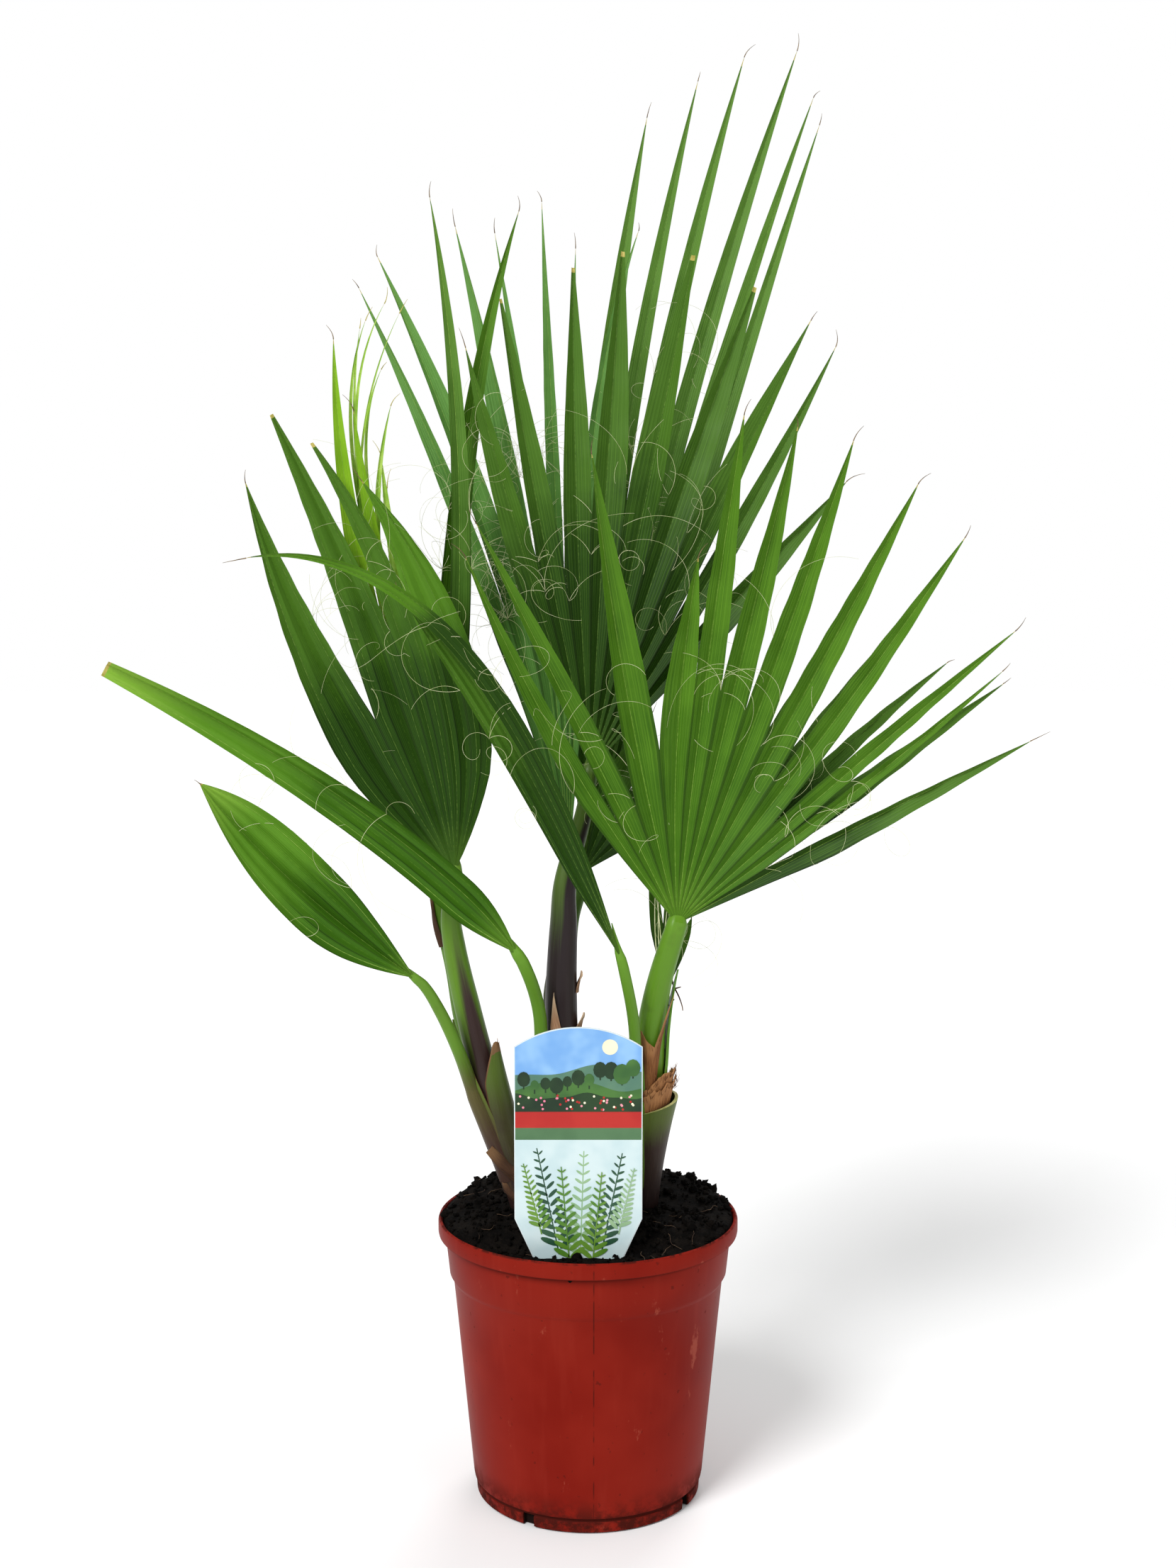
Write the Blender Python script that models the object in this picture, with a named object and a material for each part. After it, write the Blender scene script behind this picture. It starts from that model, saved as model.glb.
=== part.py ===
"""A clump of three young Mexican fan palms in a round plastic nursery pot.

Lengths are metres and angles are degrees. +Z is up and the front of the plant faces -Y.
The origin is the middle of the pot's flat underside, so the plant stands on z = 0.
"""
from collections import namedtuple
from math import cos, hypot, pi, radians, sin, sqrt

import bmesh
import bpy
import numpy as np
from mathutils import Vector

GAP = 0.0003                # clear space between neighbouring solids

# Pot: an 18 cm nursery pot
POT_HEIGHT = 0.170
RIM_RADIUS = 0.090
RIM_DEPTH = 0.010
COLLAR_RADIUS = 0.0855
COLLAR_DEPTH = 0.0345
WALL_TOP_RADIUS = 0.0810
WALL_FOOT_RADIUS = 0.0695
WALL_FOOT_HEIGHT = 0.0115
FOOT_RADIUS = 0.065
WALL = 0.0020
FLOOR = 0.0025
ROUND_SIDES = 48
DRAIN_SLOTS = 8
DRAIN_WIDTH = 0.010
DRAIN_DEPTH = 0.007
DRAIN_TURN = -28.0

# Soil, filled a little above the rim in the middle
SOIL_TOP = 0.175
SOIL_PLATEAU = 0.056
SOIL_SHOULDER = (0.068, 0.1730)
SOIL_SLOPE = (0.077, 0.1685)
SOIL_EDGE = 0.1640

# Plant label, pushed into the soil in front of the stems
LABEL_WIDTH = 0.073
LABEL_TOP = 0.300
LABEL_SHOULDER = 0.2885
LABEL_WAIST = 0.188
LABEL_FOOT = 0.130
LABEL_FOOT_WIDTH = 0.020
LABEL_THICKNESS = 0.0012
LABEL_PLACE = (-0.0055, -0.0640)
LABEL_ARCH_STEPS = 8

# Leaf blades
FOLD = 0.20                 # depth of a pleat, as a share of its width
THIN = 0.010                # thickness at a midrib, as a share of the leaflet's length
PALM_STEPS = 5              # rings of points from the hub out to the deepest split
FREE_STEPS = (0.25, 0.50, 0.72, 0.90, 1.0)
TAPER = 2.0                 # how late a free leaflet narrows to its tip

Finish = namedtuple("Finish", "name colour roughness")
TERRACOTTA = Finish("terracotta_plastic", (0.52, 0.085, 0.045), 0.42)
PEAT = Finish("peat", (0.018, 0.013, 0.010), 0.95)
LABEL_CARD = Finish("label_plastic", (0.62, 0.74, 0.78), 0.35)
STEM_SKIN = Finish("stem_skin", (0.16, 0.10, 0.07), 0.55)
CUT_SHEATH = Finish("cut_sheath", (0.30, 0.36, 0.12), 0.55)
DRY_HUSK = Finish("dry_husk", (0.36, 0.20, 0.11), 0.85)
STALK = Finish("leaf_stalk", (0.30, 0.47, 0.12), 0.45)
BRIGHT_BLADE = Finish("bright_blade", (0.17, 0.42, 0.05), 0.45)
DARK_BLADE = Finish("dark_blade", (0.06, 0.24, 0.05), 0.45)
BLUE_BLADE = Finish("blue_blade", (0.11, 0.29, 0.12), 0.50)


# Shared helpers

def clear_scene():
    for thing in list(bpy.data.objects):
        bpy.data.objects.remove(thing, do_unlink=True)


def material(finish):
    made = bpy.data.materials.get(finish.name)
    if made is None:
        made = bpy.data.materials.new(finish.name)
        made.use_nodes = True
        shader = made.node_tree.nodes["Principled BSDF"]
        shader.inputs["Base Color"].default_value = (*finish.colour, 1.0)
        shader.inputs["Roughness"].default_value = finish.roughness
        shader.inputs["Metallic"].default_value = 0.0
    return made


def add_object(name, data, finish):
    thing = bpy.data.objects.new(name, data)
    bpy.context.collection.objects.link(thing)
    data.materials.append(material(finish))
    return thing


def add_shape(name, shape, finish, smooth_below=None):
    """Turn a finished bmesh into a named object, shaded smooth where it is round."""
    bmesh.ops.recalc_face_normals(shape, faces=shape.faces)
    mesh = bpy.data.meshes.new(name)
    shape.to_mesh(mesh)
    shape.free()
    if smooth_below is not None:
        mesh.shade_smooth()
        mesh.set_sharp_from_angle(angle=radians(smooth_below))
    return add_object(name, mesh, finish)


def turned(name, profile, finish):
    """Spin (radius, height) points round the upright axis; the profile starts and ends on it."""
    shape = bmesh.new()
    points = [shape.verts.new((radius, 0.0, height)) for radius, height in profile]
    lines = [shape.edges.new(pair) for pair in zip(points, points[1:])]
    bmesh.ops.spin(shape, geom=points + lines, cent=(0, 0, 0), axis=(0, 0, 1),
                   angle=2 * pi, steps=ROUND_SIDES)
    bmesh.ops.remove_doubles(shape, verts=shape.verts, dist=0.00001)
    return add_shape(name, shape, finish, smooth_below=35)


def cut_with(body, cutter):
    """Take a hidden cutter out of a body with a Boolean modifier."""
    cutter.hide_render = True
    cutter.display_type = "WIRE"
    boolean = body.modifiers.new("cut", "BOOLEAN")
    boolean.operation = "DIFFERENCE"
    boolean.solver = "EXACT"
    boolean.object = cutter


def box(name, size, place, turn=0.0):
    """A cutter box of the given size, turned about the upright axis."""
    shape = bmesh.new()
    bmesh.ops.create_cube(shape, size=1.0)
    bmesh.ops.scale(shape, vec=size, verts=shape.verts)
    cutter = add_shape(name, shape, PEAT)
    cutter.location = place
    cutter.rotation_euler = (0.0, 0.0, radians(turn))
    return cutter


def smooth_route(points, steps):
    """Points on a smooth curve through the given ones, `steps` to each stretch."""
    points = [np.array(point, float) for point in points]
    chords = [finish - start for start, finish in zip(points, points[1:])]
    chords = [chords[0]] + chords + [chords[-1]]
    headings = [before / np.linalg.norm(before) + after / np.linalg.norm(after)
                for before, after in zip(chords, chords[1:])]
    headings = [heading / np.linalg.norm(heading) for heading in headings]
    route = []
    for index, (start, finish) in enumerate(zip(points, points[1:])):
        reach = np.linalg.norm(finish - start)
        leave, arrive = headings[index] * reach, headings[index + 1] * reach
        for step in range(steps):
            t = step / steps
            route.append(start * (2 * t ** 3 - 3 * t ** 2 + 1) + leave * (t ** 3 - 2 * t ** 2 + t)
                         + finish * (3 * t ** 2 - 2 * t ** 3) + arrive * (t ** 3 - t ** 2))
    return route + [points[-1]]


# Pot, soil and label

def pot_outside():
    """The pot's outer wall as (radius, height), from the foot up to the rim's top."""
    lip = POT_HEIGHT - RIM_DEPTH
    step = POT_HEIGHT - COLLAR_DEPTH
    return [(FOOT_RADIUS, 0.0), (FOOT_RADIUS, 0.0045), (WALL_FOOT_RADIUS - 0.0022, 0.0065),
            (WALL_FOOT_RADIUS, WALL_FOOT_HEIGHT), (WALL_TOP_RADIUS, step - 0.003),
            (COLLAR_RADIUS - 0.0022, step + 0.001), (COLLAR_RADIUS, lip - 0.003),
            (RIM_RADIUS - 0.0012, lip), (RIM_RADIUS, lip + 0.0025),
            (RIM_RADIUS, POT_HEIGHT - 0.002), (RIM_RADIUS - 0.0015, POT_HEIGHT)]


def pot_inside(clear):
    """The space inside the pot, `clear` away from its wall, from the top down to the floor."""
    step = POT_HEIGHT - COLLAR_DEPTH
    inset = WALL + clear
    return [(COLLAR_RADIUS - inset, POT_HEIGHT - RIM_DEPTH - 0.003),
            (COLLAR_RADIUS - 0.0022 - inset, step + 0.001), (WALL_TOP_RADIUS - inset, step - 0.003),
            (WALL_FOOT_RADIUS - inset, WALL_FOOT_HEIGHT), (FOOT_RADIUS - inset, FLOOR + 0.004 + clear),
            (FOOT_RADIUS - 0.004 - inset, FLOOR + clear)]


def make_pot():
    mouth = (COLLAR_RADIUS - WALL + 0.001, POT_HEIGHT)
    profile = ([(0.0, 0.0)] + pot_outside() + [mouth] + pot_inside(0.0) + [(0.0, FLOOR)])
    pot = turned("pot", profile, TERRACOTTA)
    for slot in range(DRAIN_SLOTS):
        turn = DRAIN_TURN + slot * 360.0 / DRAIN_SLOTS
        middle = FOOT_RADIUS + 0.002
        place = (middle * sin(radians(turn)), -middle * cos(radians(turn)), DRAIN_DEPTH / 2 - 0.001)
        cut_with(pot, box(f"drain_cutter_{slot}", (DRAIN_WIDTH, 0.016, DRAIN_DEPTH), place, turn))


def make_soil():
    wall = pot_inside(GAP)
    edge_radius = wall[0][0]
    wall = [(edge_radius, SOIL_EDGE - 0.001)] + [point for point in wall if point[1] < SOIL_EDGE - 0.004]
    heap = [(0.0, SOIL_TOP), (SOIL_PLATEAU, SOIL_TOP), SOIL_SHOULDER, SOIL_SLOPE,
            (edge_radius - 0.002, SOIL_EDGE + 0.0006)]
    profile = heap + wall + [(0.0, FLOOR + GAP)]
    soil = turned("soil", profile, PEAT)
    taper = (LABEL_WIDTH - LABEL_FOOT_WIDTH) / (LABEL_WAIST - LABEL_FOOT)
    slot_width = LABEL_FOOT_WIDTH + taper * (SOIL_TOP - LABEL_FOOT) + 2 * GAP
    slot_bottom = LABEL_FOOT - GAP
    slot_height = LABEL_TOP - slot_bottom
    slot = box("label_slot_cutter", (slot_width, LABEL_THICKNESS + 2 * GAP, slot_height),
               (*LABEL_PLACE, slot_bottom + slot_height / 2))
    cut_with(soil, slot)


def make_label():
    """A flat tag with an arched top and a tapering foot, from an outline pushed to its thickness."""
    half = LABEL_WIDTH / 2
    rise = LABEL_TOP - LABEL_SHOULDER
    arch_radius = (half ** 2 + rise ** 2) / (2 * rise)
    arch = []
    for step in range(LABEL_ARCH_STEPS + 1):
        x = half * cos(pi * step / LABEL_ARCH_STEPS)
        arch.append((x, LABEL_TOP - arch_radius + sqrt(arch_radius ** 2 - x ** 2)))
    foot = LABEL_FOOT_WIDTH / 2
    outline = [(-half, LABEL_WAIST), (-foot, LABEL_FOOT), (foot, LABEL_FOOT), (half, LABEL_WAIST)]
    shape = bmesh.new()
    x_place, y_place = LABEL_PLACE
    front = [shape.verts.new((x_place + x, y_place - LABEL_THICKNESS / 2, z)) for x, z in outline + arch]
    face = shape.faces.new(front)
    pushed = bmesh.ops.extrude_face_region(shape, geom=[face])
    moved = [item for item in pushed["geom"] if isinstance(item, bmesh.types.BMVert)]
    bmesh.ops.translate(shape, vec=(0.0, LABEL_THICKNESS, 0.0), verts=moved)
    add_shape("plant_label", shape, LABEL_CARD)


# Stems and what wraps them

class Stem:
    """A leaning, tapering stem between a flat foot on the soil and a flat top."""

    def __init__(self, name, foot, top, bulge, radii):
        self.name = name
        self.foot = Vector((*foot, SOIL_TOP + GAP))
        self.top = Vector(top)
        self.bulge = bulge
        self.radii = radii

    def share(self, height):
        return (height - self.foot.z) / (self.top.z - self.foot.z)

    def middle(self, height):
        t = self.share(height)
        point = self.foot.lerp(self.top, t)
        point.x += self.bulge * 4 * t * (1 - t)
        return point

    def radius(self, height):
        t = self.share(height)
        flare = 0.0015 * max(0.0, 1 - 6 * t)
        return self.radii[0] + (self.radii[1] - self.radii[0]) * t + flare

    def beside(self, height, bearing, radius):
        """The middle of a stalk, slightly thinner than `radius`, that lies just clear of the stem."""
        reach = self.radius(height) + radius
        side = Vector((cos(radians(bearing)), sin(radians(bearing)), 0.0))
        return self.middle(height) + side * reach

    def make(self, rings=9, sides=14):
        """Stack level circles up the stem, bridge them into a skin and close both ends."""
        shape = bmesh.new()
        loops = []
        for step in range(rings + 1):
            height = self.foot.z + (self.top.z - self.foot.z) * step / rings
            made = bmesh.ops.create_circle(shape, segments=sides, radius=self.radius(height))
            bmesh.ops.translate(shape, vec=self.middle(height), verts=made["verts"])
            loops.append(list({edge for corner in made["verts"] for edge in corner.link_edges}))
        for below, above in zip(loops, loops[1:]):
            bmesh.ops.bridge_loops(shape, edges=below + above)
        for end in (loops[0], loops[-1]):
            bmesh.ops.contextual_create(shape, geom=end)
        add_shape(self.name, shape, STEM_SKIN, smooth_below=50)


STEM_LEFT = Stem("stem_left", (-0.0380, 0.000), (-0.0762, -0.005, 0.3066), 0.0, (0.0088, 0.0075))
STEM_MIDDLE = Stem("stem_middle", (-0.0062, 0.000), (-0.0135, 0.000, 0.3610), -0.0055, (0.0108, 0.0082))
STEM_RIGHT = Stem("stem_right", (0.0345, 0.003), (0.0374, 0.000, 0.2796), 0.0, (0.0118, 0.0105))


def make_sheath(name, stem, heights, bearings, flare, finish, thickness=0.0018, ragged=0.003):
    """An old leaf base round part of a stem: a curved sheet, flared and torn at its top."""
    across, along = 8, 5
    grid = []
    shape = bmesh.new()
    for column in range(across + 1):
        share = column / across
        bearing = radians(bearings[0] + (bearings[1] - bearings[0]) * share)
        torn = ragged * (0.5 + 0.5 * cos(2.6 * pi * share + 1.0)) + 0.6 * ragged * (2 * share - 1) ** 2
        line = []
        for row in range(along + 1):
            rise = row / along
            height = heights[0] + (heights[1] - torn - heights[0]) * rise
            reach = stem.radius(height) + 2 * GAP + flare * rise ** 2.5
            middle = stem.middle(min(height, stem.top.z))
            line.append(shape.verts.new((middle.x + reach * cos(bearing),
                                         middle.y + reach * sin(bearing), height)))
        grid.append(line)
    for left, right in zip(grid, grid[1:]):
        for row in range(along):
            shape.faces.new((left[row], right[row], right[row + 1], left[row + 1]))
    sheath = add_shape(name, shape, finish, smooth_below=60)
    walls = sheath.modifiers.new("wall", "SOLIDIFY")
    walls.thickness = thickness
    walls.offset = 1.0
    walls.use_even_offset = True
    face = sheath.data.polygons[0]
    middle = stem.middle(heights[0])
    outward = Vector((face.center.x - middle.x, face.center.y - middle.y, 0.0))
    if face.normal.dot(outward) < 0:
        sheath.data.flip_normals()


def make_stalk(name, points, radii, finish=STALK, steps=5):
    """A leaf stalk: a tapering round curve with flat ends."""
    route = smooth_route(points, steps)
    curve = bpy.data.curves.new(name, "CURVE")
    curve.dimensions = "3D"
    curve.bevel_depth = 1.0
    curve.bevel_resolution = 2
    curve.use_fill_caps = True
    spline = curve.splines.new("POLY")
    spline.points.add(len(route) - 1)
    spline.use_smooth = True
    for index, (point, place) in enumerate(zip(spline.points, route)):
        share = index / (len(route) - 1)
        point.co = (*place, 1.0)
        point.radius = radii[0] + (radii[1] - radii[0]) * share
    add_object(name, curve, finish)


# Leaf blades

# One leaflet leaves the hub `start` degrees right of upright and ends heading `finish`.
# split: the distance from the hub at which it parts from the next leaflet on its right
# pleats: folds side by side; tip: width left at a cut tip, as a share of the full width
# lean: how far its tip swings back, as a share of its length; bend: above 1 it turns late
Lobe = namedtuple("Lobe", "start finish length split pleats tip lean bend", defaults=(0.0, 1, 0.0, 0.0, 1.0))


class Leaf:
    """A fan, or a strap of one lobe, that lies on a tilted and slightly bowed plane.

    back and turn: how far the plane falls back for each metre up and each metre to the right
    bow: how far the furthest tips swing back past that plane
    cup: how far the sides swing back, or forward below zero, as a share of the reach
    edge: the angle from the outermost midribs to the outer edges
    width: the widest half width of the outer edges; swell: where along the lobe it is reached
    """

    def __init__(self, name, hub, lobes, finish, back=0.0, turn=0.0, bow=0.0, cup=0.0,
                 edge=4.0, width=0.010, swell=0.3, thin=THIN):
        self.name = name
        self.hub = np.array(hub)
        self.lobes = lobes
        self.finish = finish
        self.back, self.turn, self.bow, self.cup = back, turn, bow, cup
        outermost = (lobes[0].start, lobes[0].finish, lobes[-1].start, lobes[-1].finish)
        self.axis = radians(sum(outermost) / len(outermost))
        self.edge, self.width, self.swell = edge, width, swell
        self.thin = thin
        self.normal = np.array((-turn, 1.0, -back)) / sqrt(1 + turn ** 2 + back ** 2)
        self.reach = max(lobe.length for lobe in lobes)
        self.deepest = max([lobe.split for lobe in lobes[:-1]] + [0.30 * self.reach])
        self.palm = [self.deepest * step / PALM_STEPS for step in range(PALM_STEPS + 1)]

    def stations(self, lobe):
        """Distances from the hub at which a lobe has a row of points."""
        free = [self.deepest + (lobe.length - self.deepest) * share for share in FREE_STEPS]
        return self.palm + free

    def split_step(self, lobe):
        """The palm ring nearest to the lobe's split."""
        return max(1, round(PALM_STEPS * lobe.split / self.deepest))

    def midrib(self, lobe):
        """Flat points (right, up) and headings of a lobe's midrib at its stations."""
        fine = np.linspace(0.0, lobe.length, 240)
        heading = np.radians(lobe.start + (lobe.finish - lobe.start) * (fine / lobe.length) ** lobe.bend)
        step = fine[1]
        right = np.concatenate(([0.0], np.cumsum((np.sin(heading[1:]) + np.sin(heading[:-1])) / 2 * step)))
        up = np.concatenate(([0.0], np.cumsum((np.cos(heading[1:]) + np.cos(heading[:-1])) / 2 * step)))
        at = self.stations(lobe)
        points = np.stack((np.interp(at, fine, right), np.interp(at, fine, up)), axis=1)
        return points, np.interp(at, fine, heading)

    def outer_half(self, distance, length):
        """Half width of a lobe's outer edge before it narrows to its tip."""
        peak = self.swell * length
        opening = distance * sin(radians(self.edge)) if self.edge else self.width
        swelling = self.width * sin(0.5 * pi * min(1.0, distance / peak))
        return min(opening, swelling) if self.edge else swelling

    def place(self, flat, depth, lean):
        """World place of a flat point, `depth` behind the blade's plane."""
        right, up = flat
        far = hypot(right, up)
        side = right * cos(self.axis) - up * sin(self.axis)
        back = self.back * up + self.turn * right + self.bow * (far / self.reach) ** 2
        back += (lean * far * far + self.cup * side * side) / self.reach
        return self.hub + np.array((right, back, up)) + depth * self.normal

    def make(self):
        """Build the closed blade: pleated and joined near the hub, free leaflets beyond the splits."""
        ribs = [self.midrib(lobe) for lobe in self.lobes]
        shape = bmesh.new()
        half_thick = [0.5 * self.thin * lobe.length for lobe in self.lobes]
        hub_thick = max(half_thick)
        hub_pair = [shape.verts.new(self.hub - hub_thick * self.normal),
                    shape.verts.new(self.hub + hub_thick * self.normal)]
        seams = [self.seam(shape, ribs, index, half_thick) for index in range(len(self.lobes) - 1)]
        for index, lobe in enumerate(self.lobes):
            left = self.side(shape, ribs, seams, index, -1)
            right = self.side(shape, ribs, seams, index, 1)
            self.skin(shape, lobe, left, right, half_thick[index], hub_pair)
        add_shape(self.name, shape, self.finish)

    def seam(self, shape, ribs, index, half_thick):
        """Flat points and vertex pairs of the ridge that two neighbouring lobes share."""
        one, two = self.lobes[index], self.lobes[index + 1]
        share = one.pleats / (one.pleats + two.pleats)
        flats, pairs = [], []
        for step in range(self.split_step(one) + 1):
            start, finish = ribs[index][0][step], ribs[index + 1][0][step]
            flat = start + (finish - start) * share
            flats.append(flat)
            if step > 0:
                pleat = np.linalg.norm(finish - start) / (0.5 * (one.pleats + two.pleats))
                depth = -FOLD * pleat
                thick = 0.8 * min(half_thick[index], half_thick[index + 1])
                lean = 0.5 * (one.lean + two.lean)
                pairs.append([shape.verts.new(self.place(flat, depth - thick, lean)),
                              shape.verts.new(self.place(flat, depth + thick, lean))])
            else:
                pairs.append(None)
        return flats, pairs

    def side(self, shape, ribs, seams, index, hand):
        """A lobe's edge on one hand: its flat points, and the shared pairs it has near the hub."""
        lobe = self.lobes[index]
        points, headings = ribs[index]
        at = self.stations(lobe)
        neighbour = index + hand
        outer = neighbour < 0 or neighbour >= len(self.lobes)
        flats, pairs = [], []
        if not outer:
            flats, pairs = seams[min(index, neighbour)]
            flats, pairs = list(flats), list(pairs)
        first_free = len(flats)
        if outer:
            start_at, start_half = 0.0, None
            first_free = 0
        else:
            start_at = at[first_free - 1]
            start_half = np.linalg.norm(flats[-1] - points[first_free - 1])
        for step in range(first_free, len(at)):
            across = np.array((cos(headings[step]), -sin(headings[step]))) * hand
            if outer:
                half = self.outer_half(at[step], lobe.length)
                fall_from = self.swell * lobe.length
            else:
                half = start_half
                fall_from = start_at
            past = max(0.0, (at[step] - fall_from) / (lobe.length - fall_from))
            half *= 1 - (1 - lobe.tip) * past ** TAPER
            flats.append(points[step] + across * half)
            pairs.append(None)
        return flats, pairs

    def skin(self, shape, lobe, left, right, half_thick, hub_pair):
        """Cover a lobe with triangles, front and back, and close its edges and its tip."""
        columns = 2 * lobe.pleats
        (left_flats, left_pairs), (right_flats, right_pairs) = left, right
        rows = [[hub_pair] * (columns + 1)]
        last = len(left_flats) - 1
        pointed = lobe.tip == 0.0
        for step in range(1, last + (0 if pointed else 1)):
            start, finish = left_flats[step], right_flats[step]
            depth = FOLD * np.linalg.norm(finish - start) / lobe.pleats
            row = []
            for column in range(columns + 1):
                flat = start + (finish - start) * column / columns
                if column == 0 and left_pairs[step]:
                    row.append(left_pairs[step])
                elif column == columns and right_pairs[step]:
                    row.append(right_pairs[step])
                elif column in (0, columns):
                    edge = shape.verts.new(self.place(flat, -depth / 2, lobe.lean))
                    row.append([edge, edge])
                else:
                    fold = depth / 2 if column % 2 else -depth / 2
                    row.append([shape.verts.new(self.place(flat, fold - half_thick, lobe.lean)),
                                shape.verts.new(self.place(flat, fold + half_thick, lobe.lean))])
            rows.append(row)
        if pointed:
            flat = 0.5 * (left_flats[last] + right_flats[last])
            tip = shape.verts.new(self.place(flat, 0.0, lobe.lean))
            rows.append([[tip, tip]] * (columns + 1))
        for step, (below, above) in enumerate(zip(rows, rows[1:]), start=1):
            for column in range(columns):
                for face in (0, 1):
                    corners = (below[column][face], below[column + 1][face],
                               above[column + 1][face], above[column][face])
                    self.triangles(shape, corners)
            for column, pairs in ((0, left_pairs), (columns, right_pairs)):
                if pairs[step] is None:
                    corners = (below[column][0], below[column][1], above[column][1], above[column][0])
                    self.triangles(shape, corners)
        if not pointed:
            ring = [pair[0] for pair in rows[-1]] + [pair[1] for pair in reversed(rows[-1])]
            outline = [corner for index, corner in enumerate(ring) if corner is not ring[index - 1]]
            shape.faces.new(outline)

    @staticmethod
    def triangles(shape, corners):
        """Two triangles on four corners, leaving out the ones that shrink to a line."""
        one, two, three, four = corners
        for trio in ((one, two, three), (one, three, four)):
            if len(set(trio)) == 3:
                shape.faces.new(trio)


LEAVES = [
    Leaf("frond_right_fan", (0.052, -0.020, 0.351), [
        Lobe(-36, -22, 0.246, 0.070), Lobe(-26, -26, 0.259, 0.075), Lobe(-14, -7, 0.276, 0.103),
        Lobe(-3, 9, 0.214, 0.134), Lobe(6, 8, 0.296, 0.138), Lobe(14, 12, 0.295, 0.130),
        Lobe(22, 17, 0.297, 0.115), Lobe(30, 26, 0.289, 0.100), Lobe(40, 32, 0.278, 0.080),
        Lobe(49, 48, 0.259, 0.080), Lobe(56, 47, 0.239, 0.060), Lobe(62, 62, 0.231)],
        BRIGHT_BLADE, back=0.05, turn=0.15, bow=-0.03, cup=-0.30, edge=5, width=0.008),
    Leaf("frond_right_fan_behind", (0.052, -0.0165, 0.351), [
        Lobe(26, 32, 0.175, 0.065), Lobe(35, 42, 0.218, 0.070), Lobe(43, 55, 0.225, 0.070),
        Lobe(55, 60, 0.248)],
        BRIGHT_BLADE, back=0.10, turn=0.40, edge=4, width=0.008, thin=0.009),
    Leaf("frond_middle_dark", (0.0015, 0.015, 0.4375), [
        Lobe(-18, -15, 0.260, 0.108), Lobe(-12, -10, 0.281, 0.100, tip=0.15),
        Lobe(-4, 0, 0.297, 0.126, tip=0.15), Lobe(3, 4, 0.306, 0.124, tip=0.15),
        Lobe(12, 11, 0.310, 0.118, tip=0.15), Lobe(18, 20, 0.302, 0.126, tip=0.15),
        Lobe(26, 27, 0.299, 0.090), Lobe(34, 27, 0.293, 0.080), Lobe(40, 44, 0.230)],
        DARK_BLADE, back=0.12, turn=0.08, bow=0.010, cup=-0.30, edge=4, width=0.008),
    Leaf("frond_middle_blue", (-0.0114, 0.035, 0.3788), [
        Lobe(-9, -28, 0.379, 0.15, bend=0.6), Lobe(-7, -25, 0.394, 0.16, bend=0.6),
        Lobe(-5, -16, 0.397, 0.16), Lobe(-4, -10, 0.389, 0.16), Lobe(-2, -3, 0.406, 0.16),
        Lobe(0, 1, 0.377, 0.16), Lobe(2, 20, 0.390, bend=3.0)],
        BLUE_BLADE, back=0.18, turn=-0.10, bow=0.02, cup=0.35, edge=3, width=0.007, thin=0.008),
    Leaf("frond_middle_tall", (-0.0033, 0.055, 0.3667), [
        Lobe(-1, 11, 0.481, 0.21), Lobe(3, 14, 0.509, 0.22), Lobe(6, 17, 0.528, 0.23),
        Lobe(10, 20, 0.541, 0.23), Lobe(14, 20, 0.513, 0.21), Lobe(17, 19, 0.497)],
        DARK_BLADE, back=0.22, bow=0.02, cup=0.40, edge=4, width=0.008, thin=0.008),
    Leaf("frond_middle_tall_side", (-0.0033, 0.0515, 0.3690), [
        Lobe(36, 41, 0.112, 0.050), Lobe(50, 56, 0.090)],
        DARK_BLADE, back=0.22, edge=5, width=0.006, thin=0.018),
    Leaf("frond_left_fan", (-0.0780, -0.015, 0.3806), [
        Lobe(-41, -16, 0.260, 0.100, 3), Lobe(-18, -26, 0.286, 0.145, 3, 0.3),
        Lobe(-3, -34, 0.265, 0.165, 2, 0.3), Lobe(14, -41, 0.243, 0.0, 4)],
        DARK_BLADE, back=0.10, turn=-0.15, cup=-0.35, edge=14, width=0.016, swell=0.35),
    Leaf("frond_left_young", (-0.0876, 0.015, 0.4099), [
        Lobe(-24, -1, 0.291, 0.12), Lobe(-16, -8, 0.246, 0.03), Lobe(8, -10, 0.367)],
        BRIGHT_BLADE, back=0.10, turn=0.10, edge=4, width=0.007),
    Leaf("leaf_left_tall_strap", (-0.0879, 0.0190, 0.4094), [Lobe(2, 18, 0.367, bend=2.0)],
         BRIGHT_BLADE, back=0.16, turn=0.10, edge=4, width=0.008, thin=0.008),
    Leaf("frond_right_young", (0.0472, 0.0165, 0.3035), [
        Lobe(-18, -7, 0.081, 0.040), Lobe(5, 1, 0.085, 0.030), Lobe(28, 20, 0.047)],
        DARK_BLADE, back=0.10, edge=6, width=0.005, thin=0.018),
    Leaf("leaf_left_simple", (-0.0997, -0.035, 0.3218), [Lobe(-53, -36, 0.166, 0.0, 5)],
         BRIGHT_BLADE, turn=0.30, edge=0, width=0.020, swell=0.48, thin=0.012),
    Leaf("leaf_middle_strap", (-0.0410, -0.025, 0.3339), [Lobe(-40, -62, 0.283, 0.0, 4, 0.4, bend=0.75)],
         BRIGHT_BLADE, turn=0.22, edge=0, width=0.0115, swell=0.18),
    Leaf("leaf_right_strap", (0.0191, -0.030, 0.3324), [
        Lobe(-26, -35, 0.242, 0.175, 3), Lobe(-21, -103, 0.335, 0.0, 2, lean=-0.06, bend=3.0)],
        DARK_BLADE, turn=0.20, edge=6, width=0.008, swell=0.3),
]


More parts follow.
